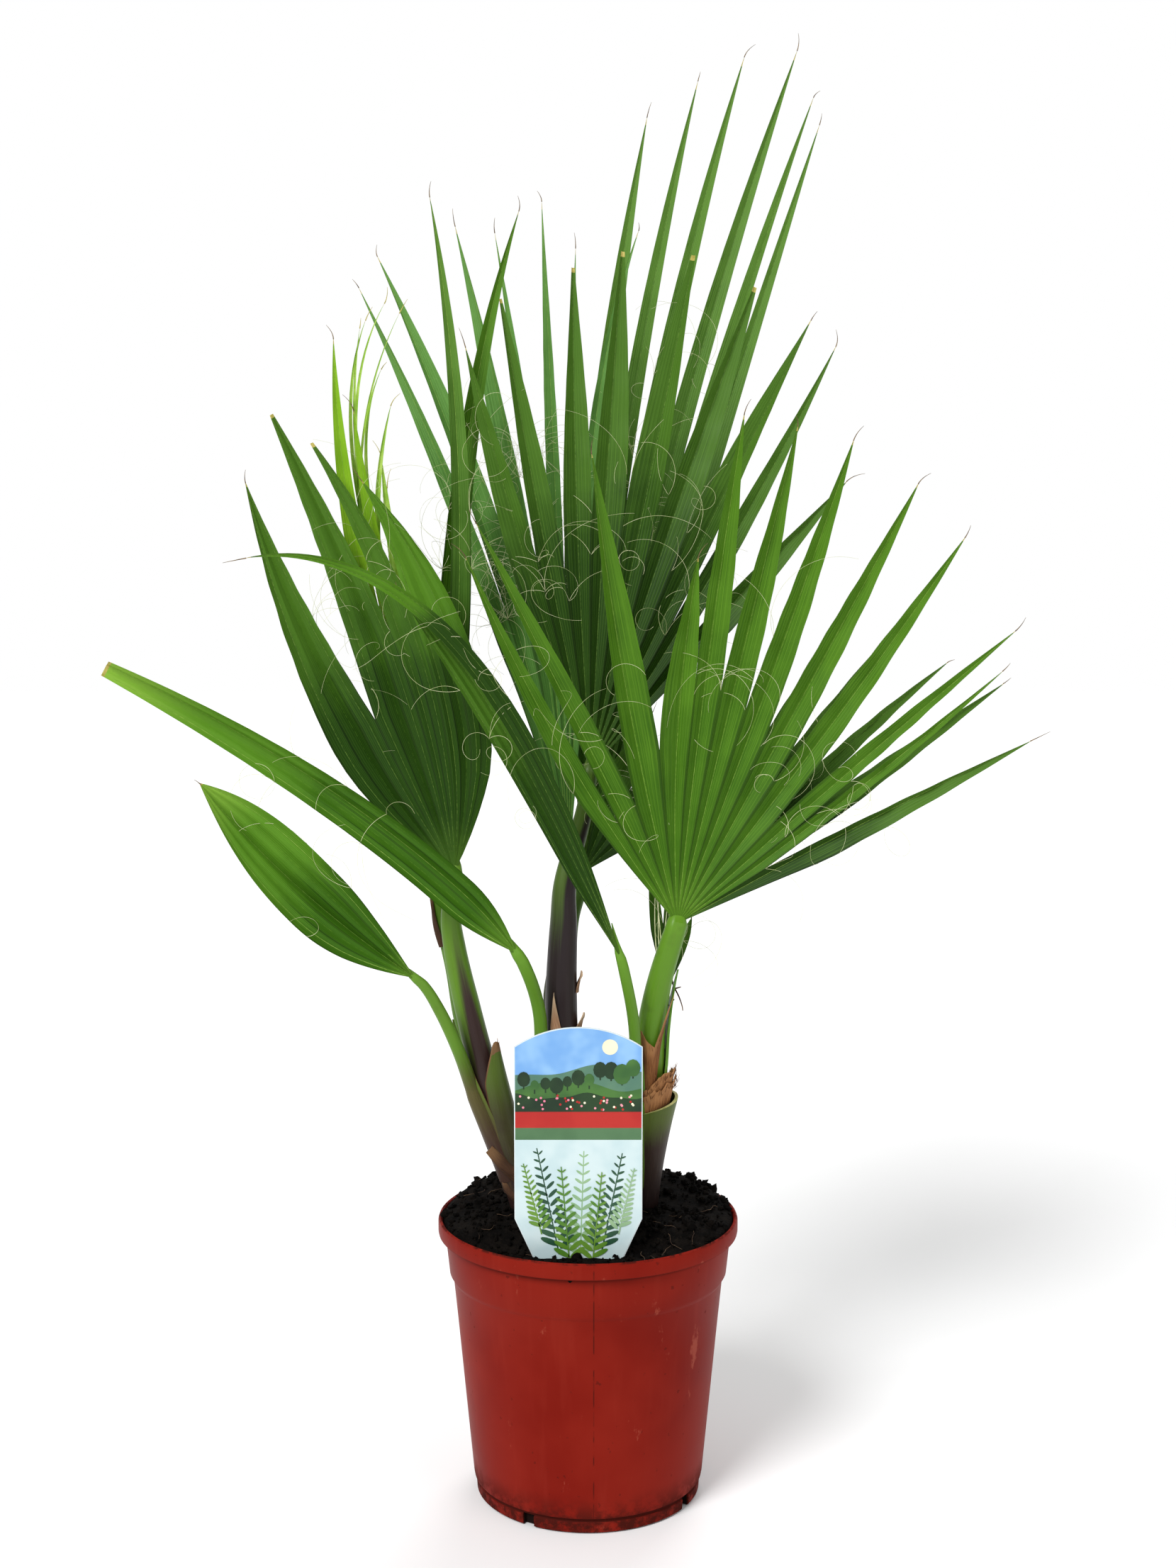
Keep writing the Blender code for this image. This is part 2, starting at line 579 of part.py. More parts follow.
def make_stalks():
    """Leaf stalks, from a stem's top or side up to just below each blade's hub."""
    straight_end = 0.006
    leaves = {leaf.name: leaf for leaf in LEAVES}

    def blade_heading(leaf, heading):
        """Unit vector in the blade's plane, `heading` degrees right of upright."""
        turn = radians(heading)
        along = np.array((sin(turn), leaf.back * cos(turn) + leaf.turn * sin(turn), cos(turn)))
        return along / np.linalg.norm(along)

    def stalk(name, leaf_name, heading, points, radii):
        leaf = leaves[leaf_name]
        along = blade_heading(leaf, heading)
        end = leaf.hub - along * 2 * GAP
        make_stalk(name, list(points) + [end - along * straight_end, end], radii)

    def on_top(stem):
        start = stem.top + Vector((0.0, 0.0, 2 * GAP))
        return [start, start + Vector((0.0, 0.0, straight_end))]

    stalk("stalk_left_fan", "frond_left_fan", -6, on_top(STEM_LEFT), (0.0062, 0.0046))
    stalk("stalk_middle_dark", "frond_middle_dark", 8, on_top(STEM_MIDDLE), (0.0062, 0.0042))
    stalk("stalk_right_fan", "frond_right_fan", 17, on_top(STEM_RIGHT), (0.0080, 0.0058))
    left, middle, right = STEM_LEFT, STEM_MIDDLE, STEM_RIGHT
    stalk("stalk_left_simple", "leaf_left_simple", -45,
          [left.beside(0.244, 217, 0.0032), left.beside(0.250, 217, 0.0034),
           (-0.0765, -0.0200, 0.272), (-0.0860, -0.0285, 0.298)], (0.0030, 0.0032))
    stalk("stalk_left_young", "frond_left_young", 6,
          [left.beside(0.280, 120, 0.0030), left.beside(0.287, 120, 0.0032),
           (-0.0860, 0.0090, 0.325), (-0.0880, 0.0105, 0.360)], (0.0028, 0.0030))
    stalk("stalk_middle_blue", "frond_middle_blue", -1,
          [middle.beside(0.296, 125, 0.0036), middle.beside(0.302, 125, 0.0038),
           (-0.0165, 0.0200, 0.335)], (0.0034, 0.0036))
    stalk("stalk_middle_tall", "frond_middle_tall", 6,
          [middle.beside(0.254, 60, 0.0042), middle.beside(0.262, 60, 0.0044),
           (-0.0055, 0.0280, 0.315)], (0.0040, 0.0042))
    stalk("stalk_middle_strap", "leaf_middle_strap", -30,
          [middle.beside(0.258, 205, 0.0040), middle.beside(0.264, 205, 0.0042),
           (-0.0290, -0.0130, 0.298)], (0.0038, 0.0040))
    stalk("stalk_right_strap", "leaf_right_strap", -14,
          [right.beside(0.246, 236, 0.0040), right.beside(0.252, 236, 0.0042),
           (0.0270, -0.0200, 0.290)], (0.0038, 0.0036))
    stalk("stalk_right_young", "frond_right_young", 4,
          [right.beside(0.262, 62, 0.0024), right.beside(0.267, 62, 0.0026),
           (0.0450, 0.0130, 0.285)], (0.0022, 0.0024))


clear_scene()
make_pot()
make_soil()
make_label()
for palm in (STEM_LEFT, STEM_MIDDLE, STEM_RIGHT):
    palm.make()
make_sheath("sheath_left_cut", STEM_LEFT, (0.188, 0.277), (-118, -18), 0.0040, CUT_SHEATH)
make_sheath("husk_left_foot", STEM_LEFT, (0.180, 0.209), (-218, -132), 0.0080, DRY_HUSK)
make_sheath("husk_middle", STEM_MIDDLE, (0.284, 0.305), (-122, -48), 0.0020, DRY_HUSK)
make_sheath("sheath_right_cut", STEM_RIGHT, (0.176, 0.246), (-86, 12), 0.0030, CUT_SHEATH)
make_sheath("husk_right", STEM_RIGHT, (0.2475, 0.277), (-100, -26), 0.0010, DRY_HUSK)
make_stalks()
for leaf in LEAVES:
    leaf.make()
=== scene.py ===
# %% [markdown]
# # A potted clump of young fan palms
# The solids of the plant are already packed at their real size. This lesson dresses them: every
# leaf is cut into pleated leaflets, the stems get their layered skins, the pot its moulded rim and
# scuffs, and the soil its crumbs. Lengths are metres, angles are degrees, and the plant's front
# faces -Y.

# %% Load the fixed solids and keep their box
from collections import namedtuple
from math import atan2, cos, hypot, pi, radians, sin, sqrt

import bmesh
import bpy
import numpy as np
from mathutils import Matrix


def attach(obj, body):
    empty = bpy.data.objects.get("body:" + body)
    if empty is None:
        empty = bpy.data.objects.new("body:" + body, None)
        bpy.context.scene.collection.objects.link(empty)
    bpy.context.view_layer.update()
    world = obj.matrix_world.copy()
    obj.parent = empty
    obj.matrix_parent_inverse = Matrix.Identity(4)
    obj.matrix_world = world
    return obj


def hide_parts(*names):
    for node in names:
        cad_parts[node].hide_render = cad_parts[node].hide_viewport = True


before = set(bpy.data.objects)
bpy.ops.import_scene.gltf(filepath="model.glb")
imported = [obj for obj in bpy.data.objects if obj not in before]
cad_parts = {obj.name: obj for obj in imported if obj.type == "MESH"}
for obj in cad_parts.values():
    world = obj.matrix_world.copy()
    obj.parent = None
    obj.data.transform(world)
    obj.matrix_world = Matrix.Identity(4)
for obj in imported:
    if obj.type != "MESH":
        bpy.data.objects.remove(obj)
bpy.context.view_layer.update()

# %% [markdown]
# ## Camera, floor and light
# The photograph was taken from about the height of the leaves, a little above the middle, with a
# normal lens. A lens is set by the share of the picture's height that its focal length covers, so
# the focal length in picture heights is multiplied by the height of the sensor.

# %% Camera at the photograph's viewing angle
PICTURE_HEIGHT, FOCAL_PIXELS = 2212, 3000
SENSOR = 36.0               # height of the sensor, in millimetres
CAMERA_PLACE = (0.0, -1.24, 0.585)
CAMERA_PITCH = 0.124        # radians below the horizon

bpy.ops.object.camera_add(location=CAMERA_PLACE, rotation=(pi / 2 - CAMERA_PITCH, 0, 0))
camera = bpy.context.object
camera.data.sensor_fit = "VERTICAL"
camera.data.sensor_height = SENSOR
camera.data.lens = SENSOR * FOCAL_PIXELS / PICTURE_HEIGHT
bpy.context.scene.camera = camera
print("lens:", round(camera.data.lens, 1), "mm")

# %% Pale floor, white surroundings and three soft suns
AMBIENT, BACKDROP = 0.5, 1.0       # how strongly the surroundings light the plant, and how bright they look
FLOOR_DROP = 0.0005                 # keeps the floor clear of the pot's underside

bpy.ops.mesh.primitive_plane_add(size=12, location=(0, 0, -FLOOR_DROP))
floor = bpy.context.object
floor.name = "pale_floor"
floor_skin = bpy.data.materials.new("pale_floor")
floor_skin.use_nodes = True
floor_shader = floor_skin.node_tree.nodes["Principled BSDF"]
floor_shader.inputs["Base Color"].default_value = (0.9, 0.9, 0.9, 1)
floor_shader.inputs["Roughness"].default_value = 0.9
floor.data.materials.append(floor_skin)

surroundings = bpy.data.worlds.new("studio")
bpy.context.scene.world = surroundings
surroundings.use_nodes = True
sky = surroundings.node_tree
sky.nodes["Background"].inputs["Color"].default_value = (1.0, 1.0, 1.0, 1)
ray = sky.nodes.new("ShaderNodeLightPath")
glow = sky.nodes.new("ShaderNodeMapRange")
glow.inputs["To Min"].default_value = AMBIENT
glow.inputs["To Max"].default_value = BACKDROP
sky.links.new(ray.outputs["Is Camera Ray"], glow.inputs["Value"])
sky.links.new(glow.outputs["Result"], sky.nodes["Background"].inputs["Strength"])
bpy.context.scene.view_settings.view_transform = "Standard"

for name, away, strength, softness in (      # the direction that each sun shines from, and its width in degrees
        ("key_sun", (-0.8, -1.2, 1.35), 2.5, 22),
        ("fill_sun", (1.3, -1.0, 0.7), 0.45, 45),
        ("back_sun", (0.4, 1.4, 1.2), 0.9, 30)):
    tilt = (atan2(hypot(away[0], away[1]), away[2]), 0, atan2(away[0], -away[1]))
    bpy.ops.object.light_add(type="SUN", location=away, rotation=tilt)
    sun = bpy.context.object
    sun.name = name
    sun.data.energy = strength
    sun.data.angle = radians(softness)

# %% [markdown]
# ## Finishes
# Plant skin is never one flat colour. Each finish below starts from one colour on a Principled
# shader and paints others over it, as thick as a node pattern says. Patterns that follow a leaf or a
# stem read a UV map named `along`: U runs across the piece and V from its root to its tip. Patterns
# that don't follow anything read Object coordinates. To keep the recipes short, a pattern's value
# can be added and multiplied like a number, and each sign then adds a Math node.


# %% A value that can be reckoned with, and a material that is painted in layers
class Value:
    """What comes out of a node."""

    def __init__(self, skin, socket):
        self.skin, self.socket = skin, socket

    def __add__(self, other):
        return self.skin.math("ADD", self, other)

    def __sub__(self, other):
        return self.skin.math("SUBTRACT", self, other)

    def __mul__(self, other):
        return self.skin.math("MULTIPLY", self, other)

    def __abs__(self):
        return self.skin.math("ABSOLUTE", self)

    def most(self, other):
        return self.skin.math("MAXIMUM", self, other)

    def mask(self, low, high):
        """0 below `low`, 1 above `high`, and a smooth change between them."""
        return self.skin.step("ShaderNodeMapRange", {"Value": self, "From Min": low, "From Max": high},
                              interpolation_type="SMOOTHSTEP")


class Finish:
    """One material."""

    def __init__(self, name, colour, roughness=0.5, coat=0.0, gloss=0.3):
        self.material = bpy.data.materials.new(name)
        self.material.use_nodes = True
        self.tree = self.material.node_tree
        self.shader = self.tree.nodes["Principled BSDF"]
        for socket, value in (("Roughness", roughness), ("Coat Weight", coat), ("Specular IOR Level", gloss)):
            self.shader.inputs[socket].default_value = value
        self.colour = (*colour, 1.0)

    def step(self, kind, inputs, output=0, **settings):
        """Add a node. A value or a plain number can go into any of its inputs."""
        made = self.tree.nodes.new(kind)
        for key, value in settings.items():
            setattr(made, key, value)
        for key, value in inputs.items():
            if isinstance(value, Value):
                self.tree.links.new(value.socket, made.inputs[key])
            else:
                made.inputs[key].default_value = value
        return Value(self, made.outputs[output])

    def math(self, operation, *values):
        return self.step("ShaderNodeMath", dict(enumerate(values)), operation=operation)

    def place(self):
        return self.step("ShaderNodeTexCoord", {}, "Object")

    def along(self):
        return self.step("ShaderNodeUVMap", {}, uv_map="along")

    def split(self, vector):
        made = self.step("ShaderNodeSeparateXYZ", {"Vector": vector}).socket.node
        return [Value(self, output) for output in made.outputs]

    def noise(self, scale, detail=3.0, rough=0.55, stretch=None, along=None):
        """Noise in space, or along the piece, stretched by a factor for each direction."""
        vector = self.along() if along else self.place()
        if stretch or along:
            vector = self.step("ShaderNodeMapping", {"Vector": vector, "Scale": stretch or along})
        return self.step("ShaderNodeTexNoise", {"Vector": vector, "Scale": scale, "Detail": detail,
                                                "Roughness": rough})

    def paint(self, factor, colour):
        self.colour = self.step("ShaderNodeMix", {0: factor, 6: self.colour, 7: (*colour, 1.0)}, 2,
                                data_type="RGBA")

    def done(self, height, depth, strength, rough=None):
        """Wire the colour, the relief and, where it varies, the roughness into the shader."""
        relief = self.step("ShaderNodeBump", {"Height": height, "Strength": strength, "Distance": depth})
        for socket, value in (("Base Color", self.colour), ("Normal", relief), ("Roughness", rough)):
            if value:
                self.tree.links.new(value.socket, self.shader.inputs[socket])
        return self.material


# %% [markdown]
# A palm leaflet has fine parallel veins, a mottled green that is lighter towards the hub, and a tip
# that dries to straw. The veins are a sine wave across U. One function makes every green leaf, with
# other greens each time. Painted shade darkens the creases between fused leaflets and, on some leaves
# strongly, the whole palm near the hub. Straw tips have a colour of their own, which faces near a tip
# are given.

# %% Leaf finishes
VEINS = 9                   # pale lines across a leaflet


def leaf_finish(name, deep, light, hub, palm=0.0, tip=None, palm_shade_span=(0.3, 0.85)):
    """`palm` is how much painted shade darkens the fused part near the hub against the free ends; the span is the
    stretch of the leaf over which that painted shade fades out.
    """
    skin = Finish(name, deep, gloss=0.12)
    across, up, _ = skin.split(skin.along())
    mottle, streak = skin.noise(34, 4), skin.noise(3, 3, 0.6, along=(20, 1.2, 1))
    wave = skin.math("SINE", across * (2 * pi * VEINS))
    # Random mottle and streaks, plus painted shade that darkens the palm towards the hub.
    mottle_and_palm_shade = mottle * 0.3 + streak * 0.7 + (up.mask(*palm_shade_span) - 0.4) * palm
    skin.paint(mottle_and_palm_shade.mask(0.34, 0.66), light)
    from_ridge = abs(across - 0.5)
    # Painted shade in the creases between the fused leaflets of the palm.
    crease_shade = from_ridge.mask(0.34, 0.5) * up.mask(0.6, 0.35)
    skin.paint(crease_shade * 0.75, tuple(0.4 * part for part in deep))
    skin.paint(wave.mask(0.5, 1.0) * 0.16, hub)
    dots = skin.noise(520, 2).mask(0.42, 0.6)
    skin.paint(from_ridge.mask(0.04, 0.01) * (dots * 0.26), hub)
    skin.paint(up.mask(0.14, 0.0) * 0.35, hub)
    if tip is not None:
        skin.paint((up + streak * 0.1).mask(0.8, 1.08), tip)
    return skin.done(wave * 0.3 + streak * 0.6, 0.0004, 0.35, rough=mottle * 0.16 + 0.42)


def plain_finish(name, one, two, scale, roughness):
    """Two colours dealt out by noise, with the same noise as relief."""
    skin = Finish(name, one, roughness)
    grain = skin.noise(scale, 4, 0.6)
    skin.paint(grain.mask(0.35, 0.65), two)
    return skin.done(grain, 0.0002, 0.4)


# The number after the three colours is how strongly painted shade darkens a leaf's palm near the hub.
BRIGHT_LEAF = leaf_finish("bright_leaf", (0.032, 0.104, 0.003), (0.078, 0.198, 0.01), (0.17, 0.34, 0.03), 0.1)
STRAP_LEAF = leaf_finish("strap_leaf", (0.036, 0.12, 0.005), (0.1, 0.255, 0.016), (0.2, 0.38, 0.04), 0.4,
                         tip=(0.25, 0.46, 0.05))
DARK_LEAF = leaf_finish("dark_leaf", (0.015, 0.05, 0.003), (0.056, 0.144, 0.01), (0.12, 0.26, 0.03), 0.45)
ARCH_LEAF = leaf_finish("arch_leaf", (0.015, 0.05, 0.003), (0.082, 0.21, 0.011), (0.14, 0.29, 0.03), 1.2,
                        palm_shade_span=(0.56, 0.86))
BULGE_LEAF = leaf_finish("bulge_leaf", (0.016, 0.052, 0.003), (0.078, 0.2, 0.011), (0.14, 0.29, 0.03), 0.85,
                         palm_shade_span=(0.25, 1.0))
DEEP_LEAF = leaf_finish("deep_leaf", (0.015, 0.048, 0.003), (0.06, 0.148, 0.013), (0.13, 0.27, 0.035), 0.4)
# Its bluish green is partly its own and partly painted light: made lighter, as if backlit through the leaflets.
BACKLIT_BLUE_LEAF = leaf_finish("blue_leaf", (0.052, 0.15, 0.022), (0.12, 0.28, 0.058), (0.2, 0.38, 0.09), 0.15)
TALL_LEAF = leaf_finish("tall_leaf", (0.038, 0.104, 0.009), (0.096, 0.215, 0.028), (0.18, 0.33, 0.06), 0.2)
YOUNG_LEAF = leaf_finish("young_leaf", (0.14, 0.33, 0.008), (0.27, 0.5, 0.02), (0.4, 0.55, 0.08))
STRAW = plain_finish("straw_tip", (0.34, 0.3, 0.06), (0.52, 0.44, 0.12), 300, 0.6)
DRY_TIP = plain_finish("dry_tip", (0.09, 0.055, 0.025), (0.22, 0.15, 0.07), 300, 0.7)
MIDRIB = plain_finish("bright_midrib", (0.12, 0.25, 0.02), (0.3, 0.44, 0.08), 420, 0.5)
DARK_MIDRIB = plain_finish("dark_midrib", (0.022, 0.066, 0.006), (0.17, 0.28, 0.045), 620, 0.5)
THREAD = plain_finish("leaf_thread", (0.5, 0.55, 0.25), (0.78, 0.8, 0.48), 60, 0.6)
STRAND = plain_finish("young_strand", (0.22, 0.42, 0.03), (0.38, 0.56, 0.09), 60, 0.5)
print("finishes so far:", len(bpy.data.materials))

# %% [markdown]
# ## Tools for making meshes from arrays
# Leaves, threads and crumbs are too many to model by hand, so their points and faces are worked out
# as arrays and gathered into one mesh for each kind. Two tools make most of them: a tube round a
# smooth route, for stems, stalks, ribs and threads, and a shell of two skins, for leaves and sheaths.


# %% Gather points and faces, then turn them into a piece
LEAF_MERGE, TUBE_MERGE = 0.000004, 0.000002         # how near points are that become one
LEAF_SHARP, SKIN_SHARP = 50, 60                     # angles above which an edge stays crisp
# Every random choice starts from a fixed seed, so that each run deals out the same plant.
LEAF_SEED, STRAND_SEED, STEM_SEED, STALK_SEED = 100, 200, 20, 40
THREAD_SEED, FIBRE_SEED, PEAT_SEED, PRINT_SEED = 7, 31, 11, 5


class Bundle:
    """Points, faces and pattern places of one joined piece."""

    def __init__(self):
        self.points, self.faces, self.places, self.kinds = [], [], [], []
        self.count = 0

    def add(self, points, faces, places=None, kinds=0):
        """Add one shape. `kinds` is its finish's number, or a list with a number for each face."""
        self.points.append(np.asarray(points, float))
        self.places.append(np.zeros((len(points), 2)) if places is None else places)
        self.faces += [tuple(int(corner) + self.count for corner in face) for face in faces]
        self.kinds += [kinds] * len(faces) if isinstance(kinds, int) else kinds
        self.count += len(points)

    def piece(self, name, finishes, slot, sharp=None, merge=0.0):
        """Make the object at the origin, close it up, point its faces outwards and shade it."""
        mesh = bpy.data.meshes.new(name)
        mesh.from_pydata(np.concatenate(self.points).tolist(), [], self.faces)
        layer = mesh.uv_layers.new(name="along")
        corners = np.zeros(len(mesh.loops), dtype=np.int32)
        mesh.loops.foreach_get("vertex_index", corners)
        layer.data.foreach_set("uv", np.concatenate(self.places)[corners].ravel())
        mesh.polygons.foreach_set("material_index", self.kinds)
        for finish in finishes:
            mesh.materials.append(finish)
        shape = bmesh.new()
        shape.from_mesh(mesh)
        if merge:
            bmesh.ops.remove_doubles(shape, verts=shape.verts, dist=merge)
        bmesh.ops.recalc_face_normals(shape, faces=shape.faces)
        shape.to_mesh(mesh)
        shape.free()
        thing = bpy.data.objects.new(name, mesh)
        bpy.context.scene.collection.objects.link(thing)
        mesh.shade_smooth()
        if sharp is not None:
            mesh.set_sharp_from_angle(angle=radians(sharp))
        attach(thing, "root")
        print(name, "has", len(mesh.polygons), "faces")
        return thing


# %% Routes and tubes
def unit(vectors):
    vectors = np.asarray(vectors, float)
    return vectors / np.sqrt(np.sum(vectors * vectors, axis=-1, keepdims=True))


def smooth_route(points, steps):
    """Points on a smooth curve through the given ones, `steps` to each stretch."""
    points = np.array(points, float)
    chords = np.diff(points, axis=0)
    ways = unit(chords)
    headings = unit(np.concatenate((ways[:1], ways)) + np.concatenate((ways, ways[-1:])))
    leave, arrive = (way[:, None] * np.linalg.norm(chords, axis=1)[:, None, None]
                     for way in (headings[:-1], headings[1:]))
    t = (np.arange(steps) / steps)[:, None]
    curve = (points[:-1, None] * (2 * t ** 3 - 3 * t ** 2 + 1) + leave * (t ** 3 - 2 * t ** 2 + t)
             + points[1:, None] * (3 * t ** 2 - 2 * t ** 3) + arrive * (t ** 3 - t ** 2))
    return np.concatenate((curve.reshape(-1, 3), points[-1:]))


def carried_frames(route, first):
    """Two sideways directions at each point of a route, carried along it without twist."""
    tangents = unit(np.gradient(route, axis=0))
    sides = [np.array(first, float)]
    for tangent in tangents:
        sides.append(unit(sides[-1] - tangent * sides[-1].dot(tangent)))
    return np.array(sides[1:]), np.cross(tangents, sides[1:])


def tube(bundle, route, radii, sides, kind=0, profile=None):
    """A closed tube. U runs round it: 0 at the back, 0.25 left, 0.5 in front and 0.75 right."""
    route = np.asarray(route, float)
    back, left = carried_frames(route, (0.0, 1.0, 0.0))
    columns = sides + 1 if profile else sides       # a profiled tube gets a seam, so that U can wrap
    angles = 2 * pi * np.arange(columns) / sides
    length = np.concatenate(([0.0], np.cumsum(np.linalg.norm(np.diff(route, axis=0), axis=1))))
    share = (length / length[-1])[:, None]
    reach = np.asarray(radii, float)[:, None] * (profile(share, angles) if profile else np.ones(columns))
    ring = (route[:, None] + back[:, None] * (reach * np.cos(angles))[..., None]
            + left[:, None] * (reach * np.sin(angles))[..., None])
    here, after = np.arange(sides), (np.arange(sides) + 1) % columns
    below = np.arange(len(route) - 1)[:, None] * columns
    quads = np.stack((below + here, below + after, below + after + columns, below + here + columns), axis=-1)
    foot = len(route) * columns
    last = foot - columns
    faces = quads.reshape(-1, 4).tolist() + [(foot, two, one) for one, two in zip(here, after)]
    faces += [(foot + 1, last + one, last + two) for one, two in zip(here, after)]
    places = np.stack(np.broadcast_arrays(angles / (2 * pi), share), axis=2).reshape(-1, 2)
    bundle.add(np.concatenate((ring.reshape(-1, 3), route[:1], route[-1:])), faces,
               np.concatenate((places, [[0.5, 0.0], [0.5, 1.0]])), kind)


# %% Shells of two skins
def shell(bundle, outer, inner, places, kinds=0, foot=True, sides=(True, True), rim=None):
    """Two grids of points, joined along their borders.

    `kinds` are the cells' finishes and `rim` that of the border at the far end. `foot` and `sides` say which
    cells of the near end and of the two sides are closed."""
    rows, columns = outer.shape[:2]
    kinds = np.broadcast_to(kinds, (rows - 1, columns - 1))
    corners = np.arange(2 * rows * columns).reshape(2, rows, columns)
    faces, numbers = [], [kinds.ravel(), kinds.ravel()]
    for skin, way in zip(corners, (1, -1)):
        quads = np.stack((skin[:-1, :-1], skin[:-1, 1:], skin[1:, 1:], skin[1:, :-1]), axis=-1)
        faces.append(quads[..., ::way].reshape(-1, 4))
    for (one, two), kind, closed in ((corners[:, 0], kinds[0], foot),
                                     (corners[:, -1], kinds[-1] if rim is None else rim, True),
                                     (corners[:, :, 0], kinds[:, 0], sides[0]),
                                     (corners[:, :, -1], kinds[:, -1], sides[1])):
        strip = np.stack((one[:-1], one[1:], two[1:], two[:-1]), axis=-1)
        closed = np.broadcast_to(closed, len(strip))
        faces.append(strip[closed])
        numbers.append(np.broadcast_to(kind, len(strip))[closed])
    bundle.add(np.concatenate((outer, inner)).reshape(-1, 3), np.concatenate(faces),
               np.tile(places.reshape(-1, 2), (2, 1)), np.concatenate(numbers).tolist())


# %% [markdown]
# ## Leaves
# A fan leaf is one pleated sheet that is fused from the hub out to its splits, and free leaflets from
# there on. The rule is that of the solids: each leaflet's midrib leaves the hub in one direction and
# ends in another, neighbours share a ridge until they part, and the whole sheet lies on a tilted
# plane whose sides swing forward or back. Here each leaflet gets many more rows, a V-shaped section,
# a little twist and droop of its own, a rippled margin, a real thickness, a raised midrib and a dry
# thread at its tip. One short leaflet more fills the tall frond's side, where the photograph has no gap.

# %% The leaves' sizes and headings
Lobe = namedtuple("Lobe", "start finish length split pleats tip lean bend shade",
                  defaults=(0.0, 1, 0.0, 0.0, 1.0, None))
Leaf = namedtuple("Leaf", "node hub lobes finish back turn bow cup edge width swell threads keel taper widen",
                  defaults=(0.0, 0.0, 0.0, 0.0, 4.0, 0.01, 0.3, 1.0, 0.0, 2.0, 0.0))

